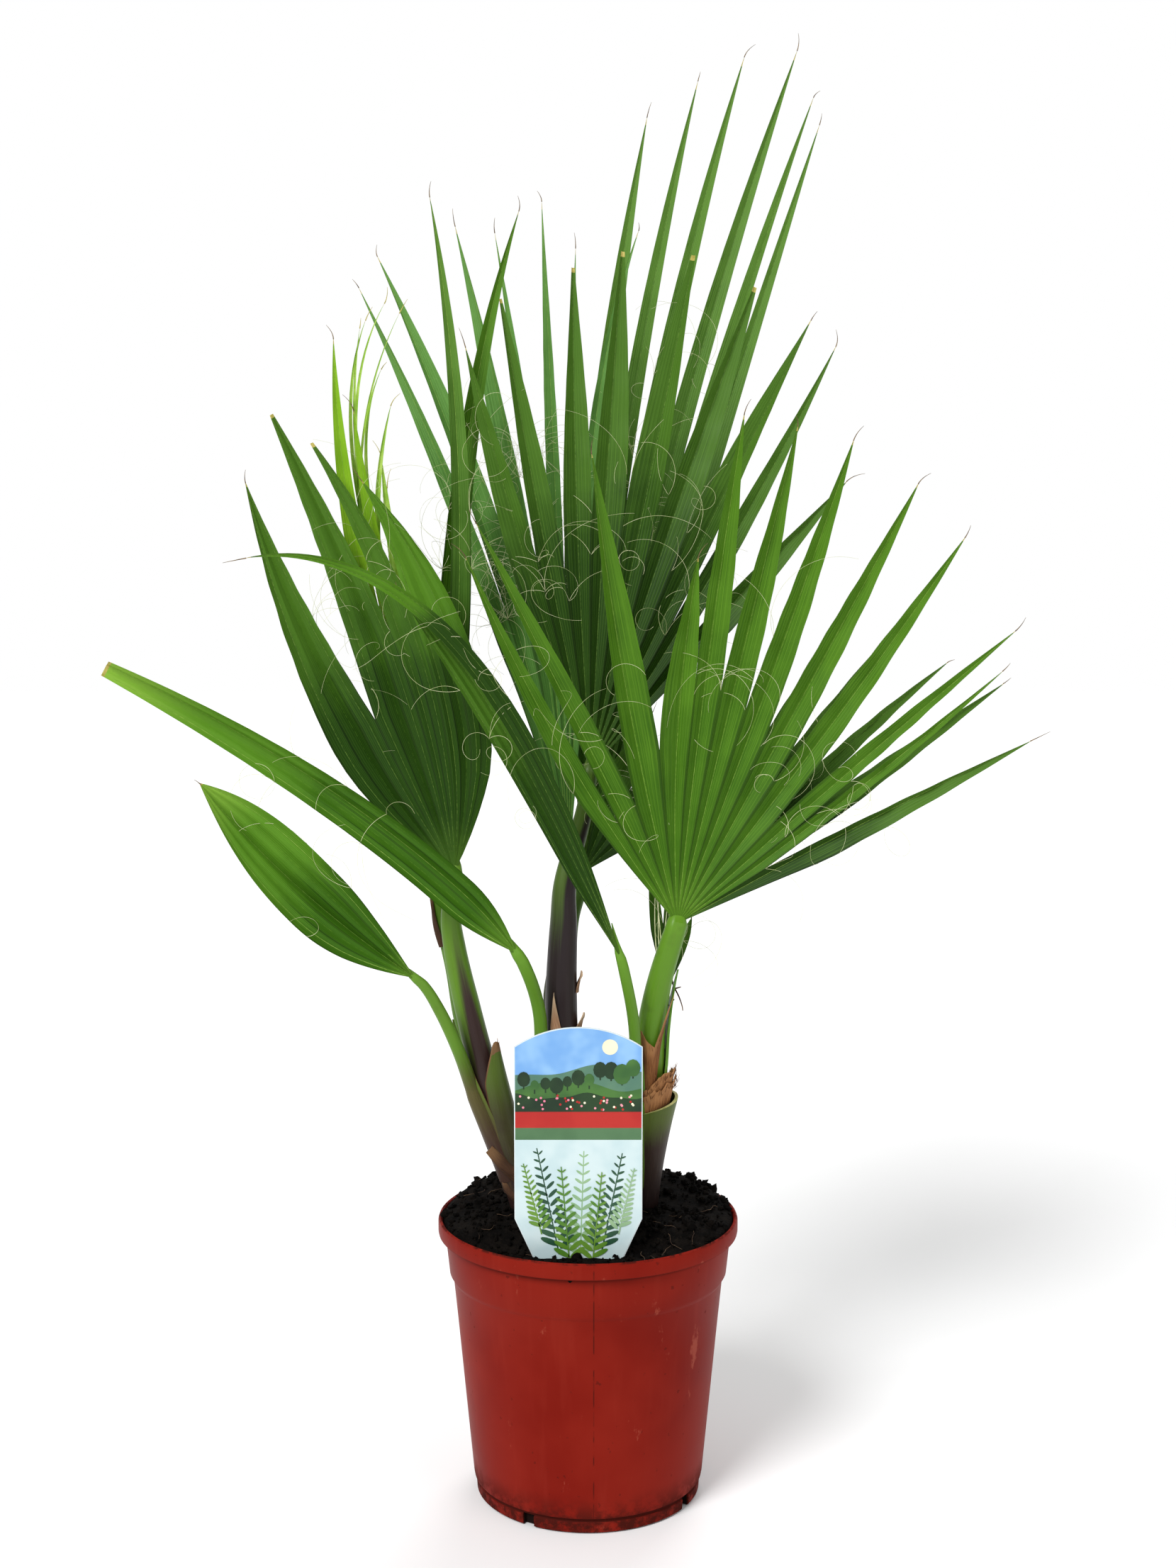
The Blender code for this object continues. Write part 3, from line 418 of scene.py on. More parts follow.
LEAVES = [
    Leaf("frond_right_fan", (0.052, -0.02, 0.351), [
        Lobe(-36, -22, 0.246, 0.07), Lobe(-26, -26, 0.259, 0.075), Lobe(-14, -7, 0.276, 0.103),
        Lobe(-3, 9, 0.214, 0.134), Lobe(6, 8, 0.296, 0.138), Lobe(14, 12, 0.295, 0.13),
        Lobe(22, 17, 0.297, 0.115), Lobe(30, 26, 0.289, 0.1), Lobe(40, 32, 0.278, 0.08),
        Lobe(49, 48, 0.259, 0.08), Lobe(56, 47, 0.239, 0.06), Lobe(62, 62, 0.231, shade=DEEP_LEAF)],
        BRIGHT_LEAF, back=0.05, turn=0.15, bow=-0.03, cup=-0.3, edge=5, width=0.008, threads=1.1, widen=0.06),
    Leaf("frond_right_fan_behind", (0.052, -0.0165, 0.351), [
        Lobe(26, 32, 0.175, 0.065), Lobe(35, 42, 0.218, 0.07), Lobe(43, 55, 0.225, 0.07),
        Lobe(55, 60, 0.248)],
        DEEP_LEAF, back=0.1, turn=0.4, edge=4, width=0.008, threads=1.0),
    Leaf("frond_middle_dark", (0.0015, 0.015, 0.4375), [
        Lobe(-18, -15, 0.26, 0.108), Lobe(-12, -10, 0.281, 0.1, tip=0.15),
        Lobe(-4, 0, 0.297, 0.126, tip=0.15), Lobe(3, 4, 0.306, 0.124, tip=0.15),
        Lobe(12, 11, 0.31, 0.118, tip=0.15), Lobe(18, 20, 0.302, 0.126, tip=0.15),
        Lobe(26, 27, 0.299, 0.09), Lobe(34, 27, 0.293, 0.08), Lobe(40, 44, 0.23)],
        DEEP_LEAF, back=0.12, turn=0.08, bow=0.01, cup=-0.3, edge=4, width=0.008, threads=1.7, widen=0.3),
    Leaf("frond_middle_blue", (-0.0114, 0.035, 0.3788), [
        Lobe(-9, -28, 0.379, 0.15, bend=0.6), Lobe(-7, -25, 0.394, 0.16, bend=0.6),
        Lobe(-5, -16, 0.397, 0.16), Lobe(-4, -10, 0.389, 0.16), Lobe(-2, -3, 0.406, 0.16),
        Lobe(0, 1, 0.377, 0.16), Lobe(2, 20, 0.39, bend=3.0)],
        BACKLIT_BLUE_LEAF, back=0.18, turn=-0.1, bow=0.02, cup=0.35, edge=3, width=0.007, threads=5.0, widen=0.25),
    Leaf("frond_middle_tall", (-0.0033, 0.055, 0.3667), [
        Lobe(-1, 11, 0.481, 0.21), Lobe(3, 14, 0.509, 0.22), Lobe(6, 17, 0.528, 0.23),
        Lobe(10, 20, 0.541, 0.23), Lobe(14, 20, 0.513, 0.21), Lobe(17, 19, 0.497)],
        TALL_LEAF, back=0.22, bow=0.02, cup=0.4, edge=4, width=0.008, threads=2.4),
    Leaf("frond_middle_tall_side", (-0.0033, 0.0515, 0.369), [
        Lobe(22, 26, 0.104, 0.05), Lobe(36, 41, 0.112, 0.05), Lobe(50, 56, 0.09)],
        DEEP_LEAF, back=0.22, edge=11, width=0.01, threads=0.6, widen=0.3),
    Leaf("frond_left_fan", (-0.078, -0.015, 0.3806), [
        Lobe(-41, -16, 0.26, 0.1, 3), Lobe(-18, -26, 0.286, 0.145, 3, 0.08),
        Lobe(-3, -34, 0.265, 0.165, 2, 0.12), Lobe(14, -41, 0.243, 0.0, 4, shade=BULGE_LEAF)],
        DARK_LEAF, back=0.1, turn=-0.15, cup=-0.35, edge=14, width=0.016, swell=0.35, threads=1.2, keel=0.16,
        taper=1.25),
    Leaf("frond_left_young", (-0.0876, 0.015, 0.4099), [
        Lobe(-24, -1, 0.291, 0.12), Lobe(-16, -8, 0.246, 0.03), Lobe(8, -10, 0.367, shade=TALL_LEAF)],
        YOUNG_LEAF, back=0.1, turn=0.1, edge=4, width=0.007, threads=4.0),
    Leaf("leaf_left_tall_strap", (-0.0879, 0.019, 0.4094), [Lobe(2, 18, 0.367, bend=2.0)],
         BRIGHT_LEAF, back=0.16, turn=0.1, edge=4, width=0.0072, threads=9.0),
    Leaf("frond_right_young", (0.0472, 0.0165, 0.3035), [
        Lobe(-11, -3, 0.081, 0.04), Lobe(4, 1, 0.085, 0.03), Lobe(23, 15, 0.047)],
        DARK_LEAF, back=0.1, edge=6, width=0.0038, threads=1.0),
    Leaf("leaf_left_simple", (-0.0997, -0.035, 0.3218), [Lobe(-53, -36, 0.166, 0.0, 5)],
         STRAP_LEAF, turn=0.3, edge=0, width=0.0185, swell=0.46, threads=1.0, keel=0.5,
         taper=2.7),
    Leaf("leaf_middle_strap", (-0.041, -0.025, 0.3339), [Lobe(-40, -62, 0.283, 0.0, 4, 0.4, bend=0.75)],
         STRAP_LEAF, turn=0.22, edge=0, width=0.0115, swell=0.18, threads=1.6, keel=0.45),
    Leaf("leaf_right_strap", (0.0191, -0.03, 0.3324), [
        Lobe(-25.5, -35, 0.242, 0.175, 3), Lobe(-22, -103, 0.335, 0.0, 2, lean=-0.06, bend=3.0,
                                                shade=ARCH_LEAF)],
        DARK_LEAF, turn=0.2, edge=6, width=0.0056, swell=0.3, threads=2.2, keel=0.13),
]
# The young leaf on the left is still opening: thin strands of it arch away to the right.
STRANDS = [Leaf("", (-0.0876, 0.018, 0.4099), [Lobe(start, finish, length, bend=bend)],
                YOUNG_LEAF, back=0.12, turn=0.1, edge=2, width=width, swell=swell, threads=0.0)
           for start, finish, length, bend, width, swell in (
               (-16, 21, 0.302, 3.9, 0.0011, 0.75), (-17, 9, 0.296, 2.4, 0.001, 0.75),
               (-16, 30, 0.313, 3.6, 0.001, 0.7), (-22, 27, 0.309, 1.8, 0.0008, 0.65),
               (-14, 26, 0.272, 5.0, 0.001, 0.75), (-19, 15, 0.249, 1.8, 0.0017, 0.72),
               (-12, -5, 0.215, 1.8, 0.003, 0.66), (-11, -1, 0.198, 4.9, 0.0016, 0.7))]
print("leaves:", len(LEAVES), "leaflets:", sum(len(leaf.lobes) for leaf in LEAVES), "strands:", len(STRANDS))

# %% One leaf's surface, worked out row by row
PLEAT_DEPTH = 0.34          # depth of a fold, as a share of a pleat's width
PALM_ROWS = 14
BLADE_THICKNESS = 0.00055
FOLD = (-0.5, 0.06, 0.5, 0.06)      # where the four columns of a pleat lie in its depth
FREE_SHARES = np.concatenate((np.linspace(0.0, 0.955, 29)[1:], (0.972, 0.983, 0.991, 1.0)))
DRY_FROM, BROWN_FROM = 0.986, 0.994         # shares of a leaflet's length where its tip turns straw and brown
CUT_DRY_FROM = 0.991                        # where a cut one does
TURN, DROOP = 24, 0.004     # how far a leaflet's tip may turn, in degrees, and hang or lift
RIPPLE = 0.0009             # how far a margin waves in and out
RIPPLE_LENGTHS = (0.022, 0.04)
RIB_RADII = (0.00025, 0.0001)
TIP_RADII, TIP_LENGTHS, TIP_SUNK = (0.00035, 0.0001), (0.005, 0.013), 0.002     # of the thread that ends a leaflet
OUTER_PARTING = 0.4         # share of its length where an outermost margin starts to shed threads


class Blade:
    """The fine surface of one leaf."""

    def __init__(self, leaf, seed):
        self.leaf = leaf
        self.rng = np.random.default_rng(seed)
        self.reach = max(lobe.length for lobe in leaf.lobes)
        first, last = leaf.lobes[0], leaf.lobes[-1]
        self.axis = radians((first.start + first.finish + last.start + last.finish) / 4)
        self.normal = unit((-leaf.turn, 1.0, -leaf.back))
        self.splits = [lobe.split for lobe in leaf.lobes[:-1]]
        self.deepest = max(self.splits + [0.3 * self.reach])
        rows = np.linspace(0.0, self.deepest, PALM_ROWS + 1)
        self.palm = np.unique(np.round(np.concatenate((rows, self.splits)), 6))
        self.thread_starts = []
        self.shades = [lobe.shade for lobe in leaf.lobes if lobe.shade]

    def midrib(self, lobe, at):
        """Flat points and headings of a midrib at the given distances from the hub."""
        fine = np.linspace(0.0, lobe.length, 400)
        heading = np.radians(lobe.start + (lobe.finish - lobe.start) * (fine / lobe.length) ** lobe.bend)
        ways = np.stack((np.sin(heading), np.cos(heading)), axis=1)
        path = np.concatenate(([[0.0, 0.0]], np.cumsum((ways[1:] + ways[:-1]) / 2 * fine[1], axis=0)))
        flat = np.stack([np.interp(at, fine, part) for part in path.T], axis=1)
        return flat, np.interp(at, fine, heading)

    def narrowing(self, past, lobe):
        """A free leaflet's width, which may swell a little before it tapers to its tip."""
        return (1 + self.leaf.widen * np.sin(pi * past ** 0.8)) * (1 - (1 - lobe.tip) * past ** self.leaf.taper)

    def place(self, flat, depth, lean):
        """Lift flat points into space: tilt, bow and cup the plane, and fold it by `depth`."""
        leaf = self.leaf
        right, up = flat[..., 0], flat[..., 1]
        side = right * cos(self.axis) - up * sin(self.axis)
        far = right ** 2 + up ** 2
        back = leaf.back * up + leaf.turn * right + leaf.bow * far / self.reach ** 2
        back = back + (lean * far + leaf.cup * side ** 2) / self.reach
        return leaf.hub + np.stack((right, back, up), axis=-1) + depth[..., None] * self.normal

    def seam(self, index, at):
        """Flat points of the ridge between two leaflets, and the pleat width there."""
        one, two = self.leaf.lobes[index], self.leaf.lobes[index + 1]
        start, finish = self.midrib(one, at)[0], self.midrib(two, at)[0]
        pleats = one.pleats + two.pleats
        width = np.linalg.norm(finish - start, axis=1) / (0.5 * pleats)
        return start + (finish - start) * one.pleats / pleats, width

    def edge(self, index, hand, at):
        """A leaflet's edge on one hand: flat points, pleat widths where fused, and where it parts."""
        leaf, lobe = self.leaf, self.leaf.lobes[index]
        rib, heading = self.midrib(lobe, at)
        if not 0 <= index + hand < len(leaf.lobes):
            peak = leaf.swell * lobe.length
            half = leaf.width * np.sin(0.5 * pi * np.minimum(1.0, at / peak))
            if leaf.edge:
                half = np.minimum(at * sin(radians(leaf.edge)), half)
            half = half * self.narrowing(np.clip((at - peak) / (lobe.length - peak), 0.0, 1.0), lobe)
            across = np.stack((np.cos(heading), -np.sin(heading)), axis=1) * hand
            return rib + across * half[:, None], None, 0.0
        index = min(index, index + hand)
        split = self.splits[index]
        fused, pleat = self.seam(index, np.minimum(at, split))
        rib_there, heading_there = self.midrib(lobe, np.array([split]))
        x, y = self.seam(index, np.array([split]))[0][0] - rib_there[0]
        swing = heading - heading_there[0]
        arm = np.stack((x * np.cos(swing) + y * np.sin(swing), y * np.cos(swing) - x * np.sin(swing)), axis=1)
        past = np.clip((at - split) / (lobe.length - split), 0.0, 1.0)
        free = rib + self.narrowing(past, lobe)[:, None] * arm
        return np.where((at > split + 1e-7)[:, None], free, fused), pleat, split

    def add_lobe(self, index, bundle, ribs):
        """Lay out one leaflet from edge to edge, fold it, and give it its skins, ribs and tip."""
        leaf, lobe = self.leaf, self.leaf.lobes[index]
        at = np.concatenate((self.palm, self.deepest + (lobe.length - self.deepest) * FREE_SHARES))
        left, left_pleat, left_split = self.edge(index, -1, at)
        right, right_pleat, right_split = self.edge(index, 1, at)
        middle = self.midrib(lobe, at)[0] if lobe.pleats == 1 else (left + right) / 2
        columns = 4 * lobe.pleats
        shares = np.linspace(0, 1, columns + 1)
        flats = np.stack([left + (middle - left) * 2 * share if share <= 0.5
                          else middle + (right - middle) * (2 * share - 1) for share in shares], axis=1)
        whole = np.linalg.norm(right - left, axis=1)
        folds = np.array(FOLD * lobe.pleats + FOLD[:1]) * PLEAT_DEPTH / lobe.pleats
        depths = whole[:, None] * (folds + leaf.keel * (0.5 - np.abs(2 * shares - 1)))
        for column, pleat, split in ((0, left_pleat, left_split), (columns, right_pleat, right_split)):
            if pleat is not None:
                fade = np.exp(-np.maximum(0.0, at - split) / 0.02)
                depths[:, column] = -0.5 * PLEAT_DEPTH * (pleat * fade + whole / lobe.pleats * (1 - fade))
        parting = max(left_split, right_split, 0.25 * lobe.length)
        free = np.clip((at - parting) / (lobe.length - parting), 0.0, 1.0)
        points = self.twist(self.place(flats, depths, lobe.lean), free, columns)
        self.sheet(bundle, points, at, free, lobe, (left_split, right_split))
        if ribs is not None:
            self.raise_ribs(ribs, points, columns)
        if not lobe.tip:
            self.tip_thread(bundle, points[-4:, columns // 2])
        self.note_thread_starts(points, at, ((0, left_split or OUTER_PARTING * lobe.length),
                                             (columns, right_split or OUTER_PARTING * lobe.length)))

    def twist(self, points, free, columns):
        """Turn a free leaflet a little about its midrib, let it droop or lift, and ripple its margins."""
        middle = points[:, columns // 2]
        angle = radians(self.rng.uniform(-TURN, TURN)) * free ** 1.2
        drift = self.rng.uniform(-DROOP, DROOP) * free ** 2
        arm = points - middle[:, None]
        c, s = np.cos(angle)[:, None, None], np.sin(angle)[:, None, None]
        axis = np.broadcast_to(unit(np.gradient(middle, axis=0))[:, None], arm.shape)
        turned = arm * c + np.cross(axis, arm) * s + axis * np.sum(axis * arm, axis=2, keepdims=True) * (1 - c)
        points = middle[:, None] + turned + drift[:, None, None] * self.normal
        far = np.linalg.norm(middle - middle[0], axis=1)
        outward = np.abs(np.linspace(-1, 1, columns + 1)) ** 3
        strength = np.sin(pi * np.clip(free * 1.15, 0, 1)) * RIPPLE
        for chosen in (slice(0, columns // 2), slice(columns // 2 + 1, columns + 1)):
            phase, wave = self.rng.uniform(0, 2 * pi), self.rng.uniform(*RIPPLE_LENGTHS)
            lift = strength * np.sin(2 * pi * far / wave + phase)
            points[:, chosen] += (lift[:, None] * outward[chosen])[..., None] * self.normal
        return points

    def sheet(self, bundle, points, at, free, lobe, splits):
        """Two skins a thickness apart, joined along the free edges and the tip."""
        thick = 0.5 * BLADE_THICKNESS * (1 - 0.45 * free)[:, None, None] * self.normal
        quarter = np.arange(points.shape[1]) / 4
        across = quarter if lobe.pleats == 1 else np.abs((quarter + 1) % 2 - 1)
        share = at / lobe.length
        cell = (share[1:] + share[:-1]) / 2
        dry_from, brown_from = (CUT_DRY_FROM, 2.0) if lobe.tip else (DRY_FROM, BROWN_FROM)
        green = 3 + self.shades.index(lobe.shade) if lobe.shade else 0
        kinds = np.where(cell < dry_from, green, np.where(cell < brown_from, 1, 2))[:, None]
        places = np.stack(np.broadcast_arrays(across, share[:, None]), axis=2)
        shell(bundle, points - thick, points + thick, places, kinds, foot=False,
              sides=[at[:-1] >= split - 1e-6 for split in splits])

    def raise_ribs(self, ribs, points, columns):
        """A fine cord along each fold, on the side that faces the front."""
        dark = self.leaf.finish in (DARK_LEAF, DEEP_LEAF, TALL_LEAF)
        for column in range(2, columns, 4 if columns < 12 else 8):
            route = points[1:-3, column] - 0.3 * BLADE_THICKNESS * self.normal
            tube(ribs, route, np.linspace(*RIB_RADII, len(route)), sides=4, kind=int(dark))

    def tip_thread(self, bundle, last):
        """The dry thread that a pointed leaflet ends in."""
        heading = unit(last[-1] - last[0])
        side = np.cross(heading, self.normal)
        reach, curl = self.rng.uniform(*TIP_LENGTHS), self.rng.uniform(-0.5, 0.5)
        shares = np.linspace(0, 1, 7)[:, None]
        route = last[-1] + heading * (shares * reach - TIP_SUNK) + side * curl * reach * shares ** 2
        tube(bundle, route, np.linspace(*TIP_RADII, 7), sides=5, kind=2)

    def note_thread_starts(self, points, at, partings):
        """Places and headings where a curly thread may leave this leaflet: its splits and margins."""
        for column, parting in partings:
            first = int(np.argmin(np.abs(at - parting)))
            for row in (first, first, first + 4, first + 9):
                if row < len(at) - 4:
                    self.thread_starts.append((points[row, column], points[row + 2, column] - points[row, column]))


# %% Build every leaf and its midribs
LEAF_SLOTS = {"bright_leaf": "bright_leaf", "strap_leaf": "bright_leaf", "young_leaf": "bright_leaf",
              "blue_leaf": "blue_leaf", "tall_leaf": "blue_leaf"}
ribs, strands, blades = Bundle(), Bundle(), []
for number, leaf in enumerate(LEAVES):
    blade, surface = Blade(leaf, LEAF_SEED + number), Bundle()
    for index in range(len(leaf.lobes)):
        blade.add_lobe(index, surface, ribs)
    piece = surface.piece("blade_" + leaf.node, [leaf.finish, STRAW, DRY_TIP] + blade.shades,
                          LEAF_SLOTS.get(leaf.finish.name, "dark_leaf"), LEAF_SHARP, LEAF_MERGE)
    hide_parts(leaf.node)
    blades.append(blade)
ribs.piece("leaf_midribs", [MIDRIB, DARK_MIDRIB], "leaf_stalk")
for number, leaf in enumerate(STRANDS):
    Blade(leaf, STRAND_SEED + number).add_lobe(0, strands, None)
strands.piece("young_strands", [STRAND, STRAW, STRAW], "bright_leaf", LEAF_SHARP, LEAF_MERGE)

# %% [markdown]
# ## Threads
# Fan palms of this kind shed pale curly threads where the leaflets part. Each thread starts at a
# split or on a leaflet's edge and wanders on with a slowly changing curl.

# %% Curly threads at the splits and margins
THREAD_RADIUS = 0.000115
THREAD_STEP = 0.0018
THREADS_PER_START = 0.42
THREAD_LENGTHS, CURL_RADII = (0.022, 0.095), (0.005, 0.034)
FRONT_LIMIT = -0.094        # threads stay behind this plane


def thread_route(rng, start, heading, length, curl, drift=0.07, upright=2.2):
    """A line that keeps turning about an axis, while the axis itself drifts."""
    route = [np.array(start, float)]
    heading = unit(heading)
    axis = rng.normal(size=3)
    axis[1] += upright * np.sign(axis[1])
    for _ in range(int(length / THREAD_STEP)):
        axis = unit(axis) + drift * rng.normal(size=3)
        curl = curl * (1 + 0.04 * rng.normal())
        heading = heading + np.cross(axis, heading) * curl * THREAD_STEP
        heading = unit(heading - (0, 0, 0.003))
        ahead = route[-1] + heading * THREAD_STEP
        if ahead[1] < FRONT_LIMIT:
            break
        route.append(ahead)
    return np.array(route)


threads = Bundle()
rng = np.random.default_rng(THREAD_SEED)
for blade in blades:
    for start, heading in blade.thread_starts:
        for _ in range(rng.poisson(THREADS_PER_START * blade.leaf.threads)):
            lean = unit(heading) + 0.8 * rng.normal(size=3)
            lean[1] = 0.5 * lean[1] - 0.25
            route = thread_route(rng, start, lean, rng.uniform(*THREAD_LENGTHS), 1 / rng.uniform(*CURL_RADII))
            if len(route) > 4:
                tube(threads, route, np.linspace(THREAD_RADIUS, 0.6 * THREAD_RADIUS, len(route)), sides=3)
print("threads:", len(threads.points))
threads.piece("leaf_threads", [THREAD], "dry_husk")

# %% [markdown]
# ## Stems and stalks
# A leaf stalk rises from inside the sheath of an older one, so each stem is a roll of leaf bases:
# purple-brown and striped below, green above, and it runs on into the stalk of its main frond. One
# tube makes the stem and that stalk, with a radius for each height and fine ribs in its section.
# The left and the right one follow centres that were fitted to the photograph.

# %% Stem and stalk finishes
def stem_finish(name, low, middle, green, turns, streak_at=0.5, streak_lift=0.0):
    """`turns` are the shares of the length where the colour leaves `low`, `middle` and reaches `green`."""
    skin = Finish(name, low, coat=0.05, gloss=0.25)
    around, up, _ = skin.split(skin.along())
    fibre, blotch = skin.noise(4, 4, 0.6, along=(16, 1.3, 1)), skin.noise(55)
    streak = abs(around - streak_at).mask(0.13, 0.02)
    height = up - streak * streak_lift + (fibre - 0.5) * 0.16
    skin.paint(height.mask(turns[0], turns[1]), middle)
    skin.paint(height.mask(turns[1], turns[2]), green)
    skin.paint(fibre.mask(0.54, 0.76) * 0.3, tuple(min(1.0, 1.9 * part + 0.012) for part in middle))
    skin.paint(blotch.mask(0.56, 0.78) * 0.3, low)
    return skin.done(fibre, 0.0004, 0.45, rough=blotch * 0.2 + 0.34)


def husk_finish(name, one, two, edge):
    skin = Finish(name, one, 0.75)
    fibre = skin.noise(3, 5, 0.65, along=(30, 1.4, 1))
    skin.paint(fibre.mask(0.34, 0.68), two)
    skin.paint((skin.split(skin.along())[1] + fibre * 0.3).mask(0.8, 1.15), edge)
    return skin.done(fibre, 0.0006, 0.8)


STALK_SKIN = stem_finish("stalk_skin", (0.075, 0.13, 0.014), (0.085, 0.185, 0.014), (0.105, 0.245, 0.012),
                         (0.05, 0.3, 0.8))
LOW_STALK_SKIN = stem_finish("low_stalk_skin", (0.05, 0.022, 0.014), (0.085, 0.07, 0.018), (0.105, 0.235, 0.014),
                             (0.12, 0.34, 0.58))
BACK_STALK_SKIN = stem_finish("back_stalk_skin", (0.024, 0.014, 0.01), (0.04, 0.05, 0.012),
                              (0.06, 0.14, 0.014), (0.05, 0.45, 0.85))
PAPERY = husk_finish("papery_husk", (0.25, 0.115, 0.055), (0.42, 0.25, 0.14), (0.54, 0.38, 0.24))
RUSTY = husk_finish("rusty_husk", (0.11, 0.034, 0.009), (0.3, 0.12, 0.034), (0.38, 0.175, 0.065))
DARK_HUSK = husk_finish("dark_husk", (0.038, 0.015, 0.007), (0.105, 0.045, 0.017), (0.2, 0.105, 0.045))
CUT_FACE = plain_finish("cut_face", (0.3, 0.34, 0.09), (0.46, 0.44, 0.18), 260, 0.6)

# %% What a stem knows of its shape
SOIL_TOP = 0.175
GAP = 0.0003                # clears one skin from the next
STRAIGHT_END = 0.006        # the last stretch of a stalk, in line with its blade


class Stem:
    """A leaning stem that carries on as its main stalk.

    `foot`, `top`, `bulge` and `radii` are the solid's, and place the side stalks. `centres` and `widths`, which
    are pairs of height and radius, are the dressed stem's."""

    def __init__(self, leaf, heading, skin, foot, top, bulge, radii, widths, centres=()):
        self.leaf, self.heading, self.skin, self.bulge, self.radii = leaf, heading, skin, bulge, radii
        self.foot, self.top = np.array((*foot, SOIL_TOP + GAP)), np.array(top)
        self.widths, self.route = widths, np.array(centres)

    def share(self, height):
        return (height - self.foot[2]) / (self.top[2] - self.foot[2])

    def middle(self, height):
        t = self.share(height)
        return self.foot + (self.top - self.foot) * t + (self.bulge * 4 * t * (1 - t), 0, 0)

    def beside(self, height, out, radius):
        t = self.share(height)
        reach = self.radii[0] + (self.radii[1] - self.radii[0]) * t + 0.0015 * max(0.0, 1 - 6 * t) + radius
        return self.middle(height) + out * reach

    def axis(self, height):
        """The dressed stem's centre at a height, or at each of many."""
        x, y = (np.interp(height, self.route[:, 2], self.route[:, part]) for part in (0, 1))
        return np.stack((x, y, height), axis=-1)

    def radius(self, height):
        return np.interp(height, *zip(*self.widths))


def blade_heading(leaf, heading):
    turn = radians(heading)
    return unit((sin(turn), leaf.back * cos(turn) + leaf.turn * sin(turn), cos(turn)))


def ribbed(seed, depth, groove):
    """A section with lengthwise ribs, and a channel in front that deepens towards the blade."""
    phases = np.random.default_rng(seed).uniform(0, 2 * pi, 4)

    def profile(share, angle):
        ribs_round = sum(np.sin(count * angle + phase + 1.5 * share)
                         for count, phase in zip((9, 14, 21, 31), phases)) / 4
        channel = groove * np.exp(-((angle - pi) / 0.55) ** 2) * np.clip((share - 0.45) * 2.5, 0, 1)
        return 1.0 + depth * ribs_round - channel

    return profile


def tapered_tail(leaf, along, end, radius):
    """The stalk's tail, which runs on for a little way up the back of the blade."""
    behind = np.array((-leaf.turn, 1.0, -leaf.back))
    radii = [radius * share for share in (0.8, 0.55, 0.32, 0.1)]
    route = [end + along * reach + behind * (0.0006 + sunk * width)
             for reach, sunk, width in zip((0.004, 0.009, 0.015, 0.022), (0.7, 1.15, 1.3, 1.3), radii)]
    return route, radii


# %% The three stems, each with its main stalk
leaves = {leaf.node: leaf for leaf in LEAVES}
STEMS = {
    "left": Stem(
        "left_fan", -6, stem_finish("left_stem_skin", (0.028, 0.012, 0.01), (0.034, 0.016, 0.014),
                                    (0.105, 0.225, 0.014), (0.1, 0.34, 0.6), 0.55, 0.22),
        (-0.038, 0.0), (-0.0762, -0.005, 0.3066), 0.0, (0.0088, 0.0075),
        [(0.175, 0.009), (0.2, 0.0086), (0.25, 0.0084), (0.3, 0.0077), (0.335, 0.0066), (0.385, 0.0046)],
        [(-0.038, 0.0, SOIL_TOP + GAP), (-0.0512, -0.0018, 0.222), (-0.065, -0.0037, 0.27),
         (-0.0727, -0.0048, 0.3028), (-0.0762, -0.006, 0.3195), (-0.0786, -0.0075, 0.3335),
         (-0.0806, -0.01, 0.352)]),
    "middle": Stem(
        "middle_dark", 8, stem_finish("middle_stem_skin", (0.02, 0.011, 0.011), (0.016, 0.009, 0.01),
                                      (0.07, 0.135, 0.012), (0.1, 0.52, 0.76), 0.6, 0.24),
        (-0.0062, 0.0), (-0.0135, 0.0, 0.361), -0.0055, (0.0108, 0.0082),
        [(0.175, 0.0112), (0.22, 0.0104), (0.3, 0.0095), (0.34, 0.0084), (0.37, 0.0068), (0.4, 0.0055),
         (0.44, 0.0043)]),
    "right": Stem(
        "right_fan", 17, stem_finish("right_stem_skin", (0.034, 0.017, 0.01), (0.085, 0.115, 0.016),
                                     (0.104, 0.24, 0.012), (0.05, 0.3, 0.5)),
        (0.0345, 0.003), (0.0374, 0.0, 0.2796), 0.0, (0.0118, 0.0105),
        [(0.175, 0.0056), (0.2, 0.0068), (0.24, 0.009), (0.265, 0.0088), (0.29, 0.0082), (0.316, 0.0073),
         (0.352, 0.0062)],
        [(0.0345, 0.003, SOIL_TOP + GAP), (0.0355, 0.002, 0.215), (0.0366, 0.0004, 0.255),
         (0.0377, -0.0034, 0.286), (0.0425, -0.0115, 0.316)]),
}
for number, (side, stem) in enumerate(STEMS.items()):
    leaf = leaves["frond_" + stem.leaf]
    along = blade_heading(leaf, stem.heading)
    end = leaf.hub - along * 2 * GAP
    centres = list(stem.route)
    if not centres:         # the middle stem keeps to the solid's axis, and then bends into its stalk
        centres = [stem.middle(height) for height in np.linspace(stem.foot[2], stem.top[2] - 0.014, 5)]
        centres += [stem.top + (0, 0, 0.01), end - along * 0.022]
    stem.route = smooth_route(centres + [end], 9)
    radii = stem.radius(stem.route[:, 2])
    tail, tail_radii = tapered_tail(leaf, along, end, radii[-1])
    bundle = Bundle()
    tube(bundle, np.concatenate((stem.route, tail)), np.concatenate((radii, tail_radii)), sides=56,
         profile=ribbed(STEM_SEED + number, 0.014, 0.16))
    piece = bundle.piece("skin_stem_" + side, [stem.skin], "stem_skin", SKIN_SHARP, TUBE_MERGE)
    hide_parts("stem_" + side, "stalk_" + stem.leaf)

